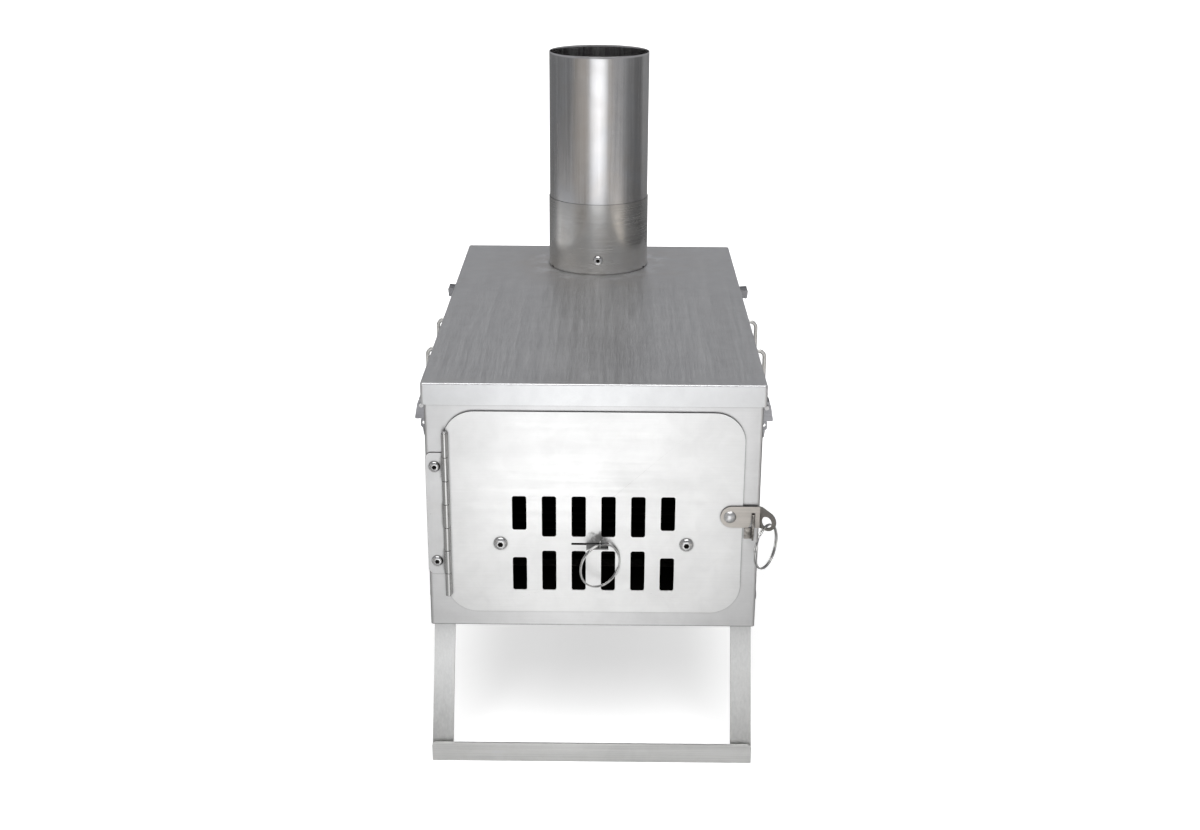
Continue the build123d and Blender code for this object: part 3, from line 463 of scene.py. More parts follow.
def laid(tree, paint, mask, share, colour):
    """The paint with a share of a colour laid over it where the mask is bright."""
    return mixed(tree, product(tree, mask, share), paint, opaque(colour))


def noise(tree, vector, scale, detail=2.0, roughness=0.5, distortion=0.0):
    """A Noise Texture's value."""
    return add_node(tree, "ShaderNodeTexNoise", Vector=vector, Scale=scale, Detail=detail, Roughness=roughness,
                    Distortion=distortion).outputs[0]


# Node groups that several steels share


def brushed_grain(tree, given):
    """Fine scratches left by a belt: noise that is stretched along the belt's way, in two sizes."""
    fine = noise(tree, given["Vector"], 1.0, 3.0, 0.65)
    broad = noise(tree, given["Vector"], 0.23, 2.0, 0.5)
    height = arithmetic(tree, "ADD", product(tree, fine, 0.65), product(tree, broad, 0.35))
    return height, ranged(tree, height, 0.34, 0.66)


def cloudy_sheet(tree, given):
    """Soft uneven patches over a sheet, as handling and rolling leave them."""
    patches = noise(tree, given["Vector"], given["Scale"], 4.0, 0.55, 0.4)
    smudges = noise(tree, given["Vector"], product(tree, given["Scale"], 4.3), 5.0, 0.62, 0.9)
    return ranged(tree, patches, 0.3, 0.7), ranged(tree, smudges, 0.52, 0.74)


def edge_wear_and_highlight(tree, given):
    """Worn edges with a painted highlight: brighter, smoother metal along an edge, from how far a rounded normal leans
    from the flat one.
    """
    bevel = add_node(tree, "ShaderNodeBevel", {"samples": 4}, Radius=given["Width"])
    plain = tree.nodes.new("ShaderNodeNewGeometry")
    lean = vector_math(tree, "DOT_PRODUCT", bevel.outputs[0], plain.outputs["Normal"])
    broken = ranged(tree, noise(tree, given["Vector"], 260.0, 3.0), 0.35, 0.6, 0.35, 1.0)
    return (product(tree, ranged(tree, lean, 0.98, 0.80), broken),)


def smoke_film(tree, given):
    """Where a point lies inside the firebox: the product of steps at its six walls, soft or sharp, broken by noise."""
    x, y, z = add_node(tree, "ShaderNodeSeparateXYZ", Vector=given["Vector"]).outputs
    ragged = ranged(tree, noise(tree, given["Vector"], 120.0, 4.0, 0.6, 0.5), 0.3, 0.7, -0.4, 0.4)
    ragged = product(tree, ragged, given["Soft"])
    mask = product(tree, arithmetic(tree, "GREATER_THAN", y, given["Front"]),
                   arithmetic(tree, "LESS_THAN", y, INNER_REAR))
    for outer, inner in ((given["Side"], arithmetic(tree, "ABSOLUTE", x)), (z, given["Low"]), (given["High"], z)):
        depth = arithmetic(tree, "ADD", arithmetic(tree, "SUBTRACT", outer, inner), ragged)
        mask = product(tree, mask, ranged(tree, depth, 0.0, given["Soft"]))
    return (mask,)


def heat_tint(tree, given):
    """A faint straw tint that fades with the distance from the flue's foot, broken up by noise."""
    away = distance(tree, given["Vector"], FLUE_FOOT, (1.0, 1.0, 0.35))
    fade = ranged(tree, away, 0.04, given["Reach"], 1.0, 0.0)
    broken = ranged(tree, noise(tree, given["Vector"], 30.0, 4.0, 0.6, 0.6), 0.3, 0.7)
    return (product(tree, fade, broken),)


def collar_halo(tree, given):
    """The lid round the collar: a ragged ring of cleaner metal, soft over 13 mm each side of 50 mm from the axis."""
    wander = ranged(tree, noise(tree, given["Vector"], 38.0, 4.0, 0.6, 0.8), 0.3, 0.7, -0.006, 0.008)
    away = arithmetic(tree, "ADD", distance(tree, given["Vector"], FLUE_FOOT), wander)
    ring_radius = 0.050
    away = arithmetic(tree, "ABSOLUTE", arithmetic(tree, "SUBTRACT", away, ring_radius))
    ring = ranged(tree, away, 0.001, 0.013, 1.0, 0.0)
    blots = ranged(tree, noise(tree, given["Vector"], 90.0, 5.0, 0.65, 0.6), 0.38, 0.62)
    return (product(tree, ring, blots),)


def corner_shade(tree, given):
    """Painted shade where pieces meet: the share of the near surroundings that is hidden from a point."""
    hidden = add_node(tree, "ShaderNodeAmbientOcclusion", {"samples": 8}, Distance=given["Reach"])
    return (ranged(tree, hidden.outputs["AO"], 0.95, 0.42),)


def shaded_cut_edge(tree, given):
    """Painted shade on the cut edges round the door opening, which face aside, and painted dark reflection along the
    bends at the panel's sides and foot.
    """
    x, y, z = add_node(tree, "ShaderNodeSeparateXYZ", Vector=given["Vector"]).outputs
    turn = add_node(tree, "ShaderNodeSeparateXYZ", Vector=given["Normal"]).outputs[1]
    aside = arithmetic(tree, "LESS_THAN", arithmetic(tree, "ABSOLUTE", turn), 0.8)
    x = arithmetic(tree, "ABSOLUTE", x)
    opening_side, opening_low, opening_high = 0.1085, 0.1235, 0.2500
    side_bend, foot_bend, front_face = (0.1122, 0.1130), (0.0900, 0.0892), (-0.1846, -0.1853)
    rim = product(tree, aside, arithmetic(tree, "LESS_THAN", x, opening_side),
                  arithmetic(tree, "GREATER_THAN", z, opening_low), arithmetic(tree, "LESS_THAN", z, opening_high))
    bend = arithmetic(tree, "MAXIMUM", ranged(tree, x, *side_bend, 0.0, 0.75), ranged(tree, z, *foot_bend, 0.0, 0.55))
    bend = product(tree, bend, ranged(tree, y, *front_face))
    return (arithmetic(tree, "MAXIMUM", rim, bend),)


def slider_smudge(tree, given):
    """Soot over the slit of the draft slider: a soft oval on the door, broken up by noise."""
    low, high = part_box("slider_screws")
    aside, above = 0.0035, 0.0052
    centre = ((low[0] + high[0]) / 2 + aside, 0.0, (low[2] + high[2]) / 2 + above)
    ragged = ranged(tree, noise(tree, given["Vector"], 320.0, 3.0), 0.3, 0.7, -0.25, 0.35)
    away = arithmetic(tree, "ADD", distance(tree, given["Vector"], centre, (125.0, 0.0, 210.0)), ragged)
    return (ranged(tree, away, 0.25, 1.15, 1.0, 0.0),)


# Each shared group: what makes it, its outputs, and its inputs with their defaults, where a vector has none
SHARED = {
    "brushed grain": (brushed_grain, ("Height", "Tone"), {"Vector": None}),
    "cloudy sheet": (cloudy_sheet, ("Patches", "Smudges"), {"Vector": None, "Scale": 9.0}),
    "edge wear and highlight": (edge_wear_and_highlight, ("Mask",), {"Vector": None, "Width": 0.0006}),
    "smoke film": (smoke_film, ("Mask",), {"Vector": None, "Front": INNER_FRONT, "Side": 0.1118, "Low": 0.1154,
                                      "High": 0.2673, "Soft": 0.00002}),
    "heat tint": (heat_tint, ("Mask",), {"Vector": None, "Reach": 0.11}),
    "collar halo": (collar_halo, ("Mask",), {"Vector": None}),
    "corner shade": (corner_shade, ("Mask",), {"Reach": 0.0025}),
    "shaded cut edge": (shaded_cut_edge, ("Mask",), {"Vector": None, "Normal": None}),
    "slider smudge": (slider_smudge, ("Mask",), {"Vector": None}),
}
GROUPS = {}
STEELS = {}


def placed(tree, name, **inputs):
    """The outputs of one of the shared groups, placed in a material with its own values."""
    if name not in GROUPS:
        GROUPS[name] = new_group(name, *SHARED[name])
    return add_node(tree, "ShaderNodeGroup", {"node_tree": GROUPS[name]}, **inputs).outputs


# Materials


def steel(name, base, brush, rough, grain=0.10, dent=0.0, cloud=9.0, patch=0.05, smudge=0.05, edge=0.5, heat=0.0,
          smoke=None, bump=0.10, corner=0.5, cut=False, soot=0.0, halo=0.0):
    """A metal: base colour with clouds, grain along the brushing, worn edges with a painted highlight, painted shade in
    corners and gaps and along cut edges, heat tint and smoke film.

    brush is the scale of the grain along each axis, and the belt ran along the axis with the small number.
    """
    if name in STEELS:
        return STEELS[name]
    colours = bpy.context.scene.stove_colours
    material, tree, shader, places = new_material(name)
    shader["Metallic"].default_value = 1.0
    where = places["Object"]
    base = tuple(base)
    stretched = add_node(tree, "ShaderNodeMapping", Vector=where, Scale=brush).outputs[0]
    grains = placed(tree, "brushed grain", Vector=stretched)
    clouds = placed(tree, "cloudy sheet", Vector=where, Scale=cloud)
    paint = mixed(tree, clouds["Patches"], opaque(base), opaque(shade(base, 1 - 2 * patch)))
    paint = mixed(tree, 1.0, paint, straight(tree, grains["Tone"], 1.0 - grain, 1.0 + grain * 0.4), "MULTIPLY")
    mottle = ranged(tree, noise(tree, where, 85.0, 3.0, 0.6, 0.5), 0.30, 0.70, 0.972, 1.018)
    paint = mixed(tree, 1.0, paint, mottle, "MULTIPLY")
    paint = laid(tree, paint, clouds["Smudges"], smudge, shade(base, *STAIN_GAINS))
    if heat:
        paint = laid(tree, paint, placed(tree, "heat tint", Vector=where)["Mask"], heat, colours.straw)
    if halo:
        paint = laid(tree, paint, placed(tree, "collar halo", Vector=where)["Mask"], halo, CLEANED)
    # Worn edges with a painted highlight: the colour made lighter and smoother along every edge
    wear_and_highlight = product(tree, placed(tree, "edge wear and highlight", Vector=where)["Mask"], edge)
    paint = laid(tree, paint, wear_and_highlight, 1.0, shade(base, 1.22))
    rough = straight(tree, grains["Tone"], rough - 0.05, rough + 0.05)
    rough = arithmetic(tree, "ADD", rough, product(tree, clouds["Patches"], 0.06))
    rough = arithmetic(tree, "SUBTRACT", rough, product(tree, wear_and_highlight, 0.10))
    # Painted shade: darker in corners and gaps, where the near surroundings are hidden
    paint = laid(tree, paint, placed(tree, "corner shade")["Mask"], corner, CORNER_SHADE)
    if soot:
        paint = laid(tree, paint, placed(tree, "slider smudge", Vector=where)["Mask"], soot, SOOT)
    # Painted shade along the door opening's cut edges, and painted dark reflection along the panel's bends
    if cut:
        rim = placed(tree, "shaded cut edge", Vector=where, Normal=places["Normal"])["Mask"]
        paint = laid(tree, paint, rim, 1.0, EDGE_SHADE)
    if smoke:
        limits = dict(zip(("Front", "Side", "Low", "High", "Soft"), smoke))
        film = placed(tree, "smoke film", Vector=where, **limits)["Mask"]
        paint = laid(tree, paint, film, 1.0, colours.smoke)
        rough = arithmetic(tree, "MAXIMUM", rough, product(tree, film, 0.9))
    tree.links.new(paint, shader["Base Color"])
    tree.links.new(rough, shader["Roughness"])
    relief = add_node(tree, "ShaderNodeBump", Strength=bump, Distance=GRAIN_DEPTH, Height=grains["Height"])
    if dent:
        wide = noise(tree, where, 11.0, 1.5, 0.4)
        sag = add_node(tree, "ShaderNodeBump", Strength=1.0, Distance=dent, Height=wide)
        tree.links.new(sag.outputs[0], relief.inputs["Normal"])
    tree.links.new(relief.outputs[0], shader["Normal"])
    STEELS[name] = material
    return material


def soot_and_shade_material():
    """Powdery soot over dark metal, for the grate and whatever is only seen inside, and painted shade in the screw
    sockets.
    """
    if "soot and shade steel" in STEELS:
        return STEELS["soot and shade steel"]
    material, tree, shader, places = new_material("soot and shade steel")
    shader["Metallic"].default_value = 0.6
    powder = noise(tree, places["Object"], 70.0, 6.0, 0.7, 0.4)
    smoke = opaque(bpy.context.scene.stove_colours.smoke)
    paint = mixed(tree, ranged(tree, powder, 0.35, 0.65), smoke, opaque(PALE_SOOT))
    tree.links.new(paint, shader["Base Color"])
    tree.links.new(ranged(tree, powder, 0.3, 0.7, 0.95, 0.7), shader["Roughness"])
    relief = add_node(tree, "ShaderNodeBump", Strength=0.5, Distance=0.0003, Height=powder)
    tree.links.new(relief.outputs[0], shader["Normal"])
    STEELS["soot and shade steel"] = material
    return material


def shaded_cut_steel():
    """The cut side of sheet, dull, and painted dark to stand for the shade and dark reflection along edges."""
    return steel("shaded cut steel", (0.15, 0.147, 0.143), (300, 300, 300), 0.5, patch=0.1, smudge=0.2, edge=0.2)


def split_edges(piece, degrees):
    """Keeps the edges that turn by more than some degrees sharp in the smooth shading."""
    piece.modifiers.new("edge split", "EDGE_SPLIT").split_angle = math.radians(degrees)


def dress(names, material, break_edges=True):
    """Puts a material on CAD nodes, welds their loose triangles, breaks the sharp edges and shades curves smooth."""
    for name in names:
        node = NODES[name]
        node.data.materials.clear()
        node.data.materials.append(material)
        node.data.polygons.foreach_set("use_smooth", np.ones(len(node.data.polygons), bool))
        node.modifiers.new("weld", "WELD").merge_threshold = 2e-6
        if break_edges:
            bevel = node.modifiers.new("edge break", "BEVEL")
            bevel.width = bpy.context.scene.stove_sizes.edge_break
            bevel.segments = 1
            bevel.limit_method = "ANGLE"
            bevel.angle_limit = math.radians(50)
            bevel.use_clamp_overlap = True
        split_edges(node, 32)


# Operators


class STOVE_OT_camera(Operator):
    """Place the camera at the photograph's viewing angle"""
    bl_idname = "stove.camera"
    bl_label = "Camera"

    def execute(self, context):
        studio = context.scene.stove_studio
        data = bpy.data.cameras.new("camera")
        data.sensor_width = 36.0
        data.lens = studio.lens
        camera = bpy.data.objects.new("camera", data)
        context.scene.collection.objects.link(camera)
        yaw, pitch, roll = studio.yaw, studio.pitch, studio.roll
        ahead = Vector((math.sin(yaw) * math.cos(pitch), math.cos(yaw) * math.cos(pitch), -math.sin(pitch)))
        right = Vector((math.cos(yaw), -math.sin(yaw), 0.0))
        up = right.cross(ahead)
        turned_right = math.cos(roll) * right + math.sin(roll) * up
        turned_up = -math.sin(roll) * right + math.cos(roll) * up
        matrix = Matrix((turned_right, turned_up, -ahead)).transposed().to_4x4()
        matrix.translation = Vector(studio.position)
        camera.matrix_world = matrix
        context.scene.camera = camera
        return {"FINISHED"}


class STOVE_OT_studio(Operator):
    """Make the pale floor, the lamps, the reflecting screen round the stove and the white world"""
    bl_idname = "stove.studio"
    bl_label = "Studio"

    def execute(self, context):
        studio = context.scene.stove_studio
        context.scene.view_settings.view_transform = "Standard"
        self.floor(studio)
        self.screen()
        self.lamps(studio)
        self.world(context)
        return {"FINISHED"}

    def staged(self, name, points, faces, material):
        """An object of the studio, which is no piece of the stove."""
        thing = bpy.data.objects.new(name, mesh_from(name, points, faces))
        bpy.context.scene.collection.objects.link(thing)
        thing.data.materials.append(material)
        return thing

    def floor(self, studio):
        """A pale floor that glows for the camera alone, and that reflections see dimmed, with two painted pools of
        light that only reflections see.
        """
        material, tree, shader, places = new_material("pale floor")
        shader["Roughness"].default_value = 0.9
        shader["Specular IOR Level"].default_value = 0.1
        shader["Emission Color"].default_value = (1.0, 1.0, 1.0, 1.0)
        path = tree.nodes.new("ShaderNodeLightPath").outputs
        where, glossy = places["Object"], path["Is Glossy Ray"]
        paint = mixed(tree, glossy, opaque(studio.floor), opaque(shade(studio.floor, 0.47)))
        tree.links.new(paint, shader["Base Color"])
        seen = arithmetic(tree, "MAXIMUM", path["Is Camera Ray"], path["Is Transmission Ray"])
        shown = product(tree, seen, ranged(tree, distance(tree, where, (0.0, 0.0, 0.0)), 0.25, 1.1, 0.46, 1.0))
        # Two painted pools of light, which only reflections see
        wide = ranged(tree, distance(tree, where, (-0.01, -0.79, 0.0), (1.0, 0.50, 1.0)), 0.02, 0.29, 1.7, 0.0)
        close = ranged(tree, distance(tree, where, (0.0, -0.36, 0.0), (1.1, 1.0, 1.0)), 0.03, 0.14, 0.34, 0.0)
        painted_pools = product(tree, arithmetic(tree, "ADD", wide, close), glossy)
        tree.links.new(arithmetic(tree, "ADD", shown, painted_pools), shader["Emission Strength"])
        reach, height = 6, CAD_BOX[0][2] - 0.0002
        points = np.array([(x * reach, y * reach, height) for x, y in ((-1, -1), (1, -1), (1, 1), (-1, 1))], float)
        self.staged("floor", points, np.array([[0, 1, 2, 3]]), material)

    def screen(self):
        """A standing cylinder of card that only reflections see, with pale and grey strips round it."""
        material, tree, shader, places = new_material("screen card")
        tree.nodes.remove(tree.nodes["Principled BSDF"])
        where = places["Object"]
        centred = vector_math(tree, "SUBTRACT", where, (0.0, FLUE_Y, 0.0))
        around = add_node(tree, "ShaderNodeTexGradient", {"gradient_type": "RADIAL"}, Vector=centred).outputs[1]
        upper = self.strips(tree, around, (
            (-90, 0.24, 0), (-64, 0.23, 0), (-56, 0.29, 1), (-43, 0.45, 1), (-26, 0.52, 1), (-20, 0.72, 0),
            (-14, 1.75, 0), (4, 1.95, 0), (12, 1.45, 0), (19, 0.90, 0), (23, 0.52, 1), (36, 0.42, 0), (55, 0.36, 0),
            (66, 0.28, 0), (78, 0.20, 0), (95, 0.17, 0), (112, 0.15, 0), (122, 0.32, 0), (150, 0.26, 0),
            (180, 0.24, 0), (215, 0.20, 0), (242, 0.19, 0)))
        lower = self.strips(tree, around, (
            (-100, 1.15, 0), (-63, 0.95, 0), (-52, 0.60, 0), (-42, 0.33, 0), (-32, 0.20, 0), (-22, 0.15, 0),
            (-13, 0.30, 0), (-4, 0.44, 0), (6, 0.39, 0), (25, 0.80, 1), (45, 1.50, 1), (56, 0.95, 1), (66, 0.30, 0),
            (77, 0.15, 0), (104, 0.10, 0), (121, 0.11, 0), (145, 0.19, 0), (180, 0.25, 0), (222, 0.26, 0),
            (243, 0.42, 0)))
        height = add_node(tree, "ShaderNodeSeparateXYZ", Vector=where).outputs[2]
        blend = mixed(tree, ranged(tree, height, 0.06, 0.13), lower, upper)
        blend = mixed(tree, ranged(tree, height, 0.34, 0.42), blend, (0.41, 0.41, 0.424, 1.0))
        blend = mixed(tree, ranged(tree, height, 0.50, 0.80), blend, (0.175, 0.175, 0.184, 1.0))
        emission = add_node(tree, "ShaderNodeEmission", Color=blend, Strength=1.0)
        tree.links.new(emission.outputs[0], tree.nodes["Material Output"].inputs[0])
        radius, steps = 1.05, 96
        points, faces = rolled_tube([(radius, -0.001), (radius, 0.55), (radius, 1.7)], (0.0, FLUE_Y), steps)
        screen = self.staged("screen", points, faces[:2 * steps], material)
        for ray in ("camera", "diffuse", "shadow", "transmission", "volume_scatter"):
            setattr(screen, f"visible_{ray}", False)

    def strips(self, tree, around, stops):
        """A ramp round the screen from (degrees to the right of the front, brightness, warmth) stops."""
        ramp = add_node(tree, "ShaderNodeValToRGB", Fac=around)
        stops = sorted(((0.25 + turn / 360) % 1.0, level, warm) for turn, level, warm in stops)
        stops.append((1.0, *stops[0][1:]))
        elements = ramp.color_ramp.elements
        while len(elements) > 1:
            elements.remove(elements[0])
        for index, (place, level, warm) in enumerate(stops):
            element = elements.new(place) if index else elements[0]
            element.position = place
            tint = (1.05, 0.99, 0.92) if warm else (0.99, 1.0, 1.02)
            element.color = opaque(level * t for t in tint)
        return ramp.outputs[0]

    def lamps(self, studio):
        """A large lamp above the front and one at each side."""
        for name, place, target, size, power in (
                ("key", (0.0, -1.3, 2.3), (0.0, -0.3, 0.0), 2.4, studio.key_power),
                ("left", (-2.2, -0.4, 1.6), (0.0, 0.0, 0.1), 1.6, studio.side_power),
                ("right", (2.2, -0.4, 1.6), (0.0, 0.0, 0.1), 1.6, studio.side_power)):
            data = bpy.data.lights.new(name, "AREA")
            data.shape = "SQUARE"
            data.size = size
            data.energy = power
            lamp = bpy.data.objects.new(name, data)
            lamp.location = place
            lamp.rotation_euler = (Vector(target) - Vector(place)).to_track_quat("-Z", "Y").to_euler()
            bpy.context.scene.collection.objects.link(lamp)

    def world(self, context):
        """A world that is white where it is seen and dimmer as a light."""
        world = bpy.data.worlds.new("white studio")
        world.use_nodes = True
        tree = world.node_tree
        sky = tree.nodes["Background"].inputs
        path = tree.nodes.new("ShaderNodeLightPath").outputs
        seen = arithmetic(tree, "MAXIMUM", path["Is Camera Ray"], path["Is Glossy Ray"])
        seen = arithmetic(tree, "MAXIMUM", seen, path["Is Transmission Ray"])
        sky["Color"].default_value = (1.0, 1.0, 1.0, 1.0)
        tree.links.new(straight(tree, seen, 0.35, 1.0), sky["Strength"])
        context.scene.world = world


class STOVE_OT_firebox(Operator):
    """Finish the firebox: panels, walls, floor and grate"""
    bl_idname = "stove.firebox"
    bl_label = "Firebox"

    def execute(self, context):
        colours = context.scene.stove_colours
        sheet = dict(smoke=(INNER_FRONT,), dent=0.0003, patch=0.03, grain=0.03, bump=0.05)
        panel = steel("panel steel", colours.panel, (9, 500, 900), 0.38, **sheet)
        front = steel("front steel", colours.panel, (9, 500, 900), 0.38, cut=True, **sheet)
        wall = steel("wall steel", colours.panel, (500, 9, 900), 0.38, **sheet)
        dress(("front_panel",), front)
        dress(("rear_panel", "firebox_floor"), panel)
        dress(("side_left", "side_right"), wall)
        dress(("fire_grate",), soot_and_shade_material())
        return {"FINISHED"}


class STOVE_OT_lid(Operator):
    """Finish the lid and its clamp catches"""
    bl_idname = "stove.lid"
    bl_label = "Lid"

    def execute(self, context):
        colours = context.scene.stove_colours
        lid = steel("lid steel", colours.lid, (1500, 26, 1500), 0.36, smoke=(INNER_FRONT,), dent=0.0004, heat=0.16,
                    patch=0.045, halo=0.55, smudge=0.08, grain=0.012, bump=0.022)
        dress(("lid", "lid_catches"), lid)
        return {"FINISHED"}


class STOVE_OT_flue(Operator):
    """Draw the flue pipe as rolled sheet, and finish its collar"""
    bl_idname = "stove.flue"
    bl_label = "Flue"

    def execute(self, context):
        sizes = context.scene.stove_sizes
        colours = context.scene.stove_colours
        low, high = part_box("flue_pipe")

        def out_of_round(angle, height):
            """A few slow waves round and along the sheet: the sum of four sines of angle and height."""
            wave = (np.sin(2 * angle + 1.1 + 9 * height) + 0.6 * np.sin(5 * angle - 31 * height)
                    + 0.5 * np.sin(9 * angle + 77 * height) + 0.35 * np.sin(3 * angle + 140 * height))
            return sizes.pipe_wave * (wave / 2.45 - 1.0) / 2

        profile = wall_profile(sizes.pipe_radius, sizes.pipe_wall, low[2], high[2], 90, 0.0002)
        points, faces = rolled_tube(profile, (0.0, FLUE_Y), sizes.steps_round, out_of_round, math.radians(100))
        flue = steel("flue steel", colours.flue, (500, 500, 9), 0.17, cloud=14.0, patch=0.03, smudge=0.10, heat=0.15,
                     bump=0.05, grain=0.07)
        add_piece("flue_pipe_sheet", points, faces, "pipe", ["flue_pipe"], [flue])
        collar = steel("collar steel", colours.collar, (30, 30, 2600), 0.20, cloud=20.0, patch=0.05, smudge=0.12,
                       heat=0.12, bump=0.008, grain=0.06)
        dress(("flue_collar",), collar, break_edges=False)
        return {"FINISHED"}


class STOVE_OT_door(Operator):
    """Finish the door and the draft slider, and draw the hinge"""
    bl_idname = "stove.door"
    bl_label = "Door"

    def execute(self, context):
        colours = context.scene.stove_colours
        door = steel("door steel", colours.door, (14, 500, 900), 0.38, smoke=(DOOR_BACK, 0.0975, 0.1110, 0.2375, 0.006),
                     dent=0.0004, cloud=11.0, patch=0.03, smudge=0.05, grain=0.025, bump=0.05, cut=True, soot=0.72)
        # The slider: the leg steel at 0.45, painted dark to stand for the dark surroundings its tab reflects
        plate = steel("slider steel", shade(colours.leg, 0.45), (14, 500, 900), 0.26, smoke=(DOOR_BACK,), patch=0.08,
                      smudge=0.3)
        dress(("door_panel",), door)
        dress(("draft_slider",), plate)
        self.hinge(context)
        return {"FINISHED"}

    def hinge(self, context):
        """Both leaves with their rolled knuckles, one step a piece from the bottom to the top of the pin."""
        sizes = context.scene.stove_sizes
        colours = context.scene.stove_colours
        barrel = steel("knuckle steel", shade(colours.wire, 0.82), (300, 300, 12), 0.15, patch=0.05, smudge=0.35,
                       grain=0.05, corner=1.0)
        leaf = steel("leaf steel", colours.panel, (300, 300, 12), 0.38, patch=0.04, smudge=0.12, grain=0.03, corner=0.8)
        radius = sizes.knuckle / 2
        low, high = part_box("hinge_door_leaf")
        centre = (low[0] + radius, low[1] + radius)
        door_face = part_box("door_panel")[0][1]
        pitch = (high[2] - low[2] + sizes.knuckle_gap) / KNUCKLES
        plate_low, plate_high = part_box("hinge_frame_leaf")
        edge = low[0] - 0.0003
        outline = rounded_outline(plate_low[0], edge, plate_low[2], plate_high[2], sizes.leaf_corner)
        plate = prism(outline, plate_high[1] - 0.0008, plate_high[1], 0.00015)
        row = np.arange(len(plate[1])) // len(outline)
        # The leaf's chamfer and sides get the shaded cut steel, a painted dark outline
        leaves = {0: [], 1: [(*plate, np.where((row > 1) & (row < 5), 2, 1))]}
        for index in range(KNUCKLES):
            bottom = low[2] + index * pitch
            top = bottom + pitch - sizes.knuckle_gap
            lean = 0.00006 if index % 2 else -0.00006
            tube = rolled_tube(self.knuckle(radius, bottom, top), (centre[0] + lean, centre[1]), 36)
            left, right = (edge - 0.0002, centre[0]) if index % 2 else (centre[0], low[0] + 2 * radius + 0.0001)
            back = plate_high[1] if index % 2 else door_face
            web = rounded_outline(left, right, bottom + 0.0002, top - 0.0002, 0.0001)
            leaves[index % 2] += [(*tube, 0), (*prism(web, centre[1] + 0.0006, back, 0.0001), 0)]
        for name, key, body, slot in (("hinge_door_leaf", 0, "door", "door_steel"),
                                      ("hinge_frame_leaf", 1, "firebox", "body_steel")):
            points, faces, marks = joined(leaves[key])
            add_piece(f"{name}_rolled", points, faces, body, [name], [barrel, leaf, shaded_cut_steel()], marks)

    def knuckle(self, radius, low, high):
        """A rolled knuckle's closed outline: up its wall with turned-in ends, and down its bore."""
        turn = np.linspace(0, np.pi / 2, 4)
        soft, bore = 0.0003, radius - 0.0008
        below = [(radius - soft * (1 - math.sin(t)), low + soft * (1 - math.cos(t))) for t in turn]
        above = [(radius - soft * (1 - math.cos(t)), high - soft * (1 - math.sin(t))) for t in turn]
        return below + [(radius, low + 0.0005), (radius, high - 0.0005)] + above + [(bore, high), (bore, low)]


class STOVE_OT_rings(Operator):
    """Draw the two split rings as two turns of spring wire, and finish the wire handles"""
    bl_idname = "stove.rings"
    bl_label = "Rings and handles"

    def execute(self, context):
        sizes = context.scene.stove_sizes
        wire = steel("wire steel", context.scene.stove_colours.wire, (300, 300, 300), 0.16, patch=0.06, smudge=0.25,
                     bump=0.03, corner=0.85)
        for node, turn, start in (("slider_ring", 122.0, -0.9), ("latch_ring", -33.0, 2.6)):
            low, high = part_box(node)
            across = (math.cos(math.radians(turn)), math.sin(math.radians(turn)), 0.0)
            points, faces = split_ring((low + high) / 2, across, sizes.ring_wire, sizes.ring_flat, sizes.ring_radius,
                                       start)
            add_piece(f"{node}_wire", points, faces, node, [node], [wire])
        # The handles: near white, a painted highlight along the thin wire
        pale = steel("handle steel", (0.93, 0.92, 0.89), (300, 300, 300), 0.30, patch=0.03, smudge=0.08, bump=0.03,
                     corner=0.4)
        dress(("carry_handle_left", "carry_handle_right"), pale, break_edges=False)
        return {"FINISHED"}


class STOVE_OT_legs(Operator):
    """Finish the folding leg frames"""
    bl_idname = "stove.legs"
    bl_label = "Legs"

    def execute(self, context):
        leg = context.scene.stove_colours.leg
        posts = steel("leg steel", leg, (700, 700, 9), 0.36, patch=0.04, smudge=0.08)
        # The rails: the leg steel made 1.7 times lighter, with little corner shade, painted light
        rails = steel("rail steel", shade(leg, 1.7), (9, 700, 700), 0.40, patch=0.04, smudge=0.08, corner=0.15)
        dress(("front_leg_left", "front_leg_right", "rear_leg_left", "rear_leg_right"), posts)
        dress(("front_foot_rail", "rear_foot_rail"), rails)
        return {"FINISHED"}


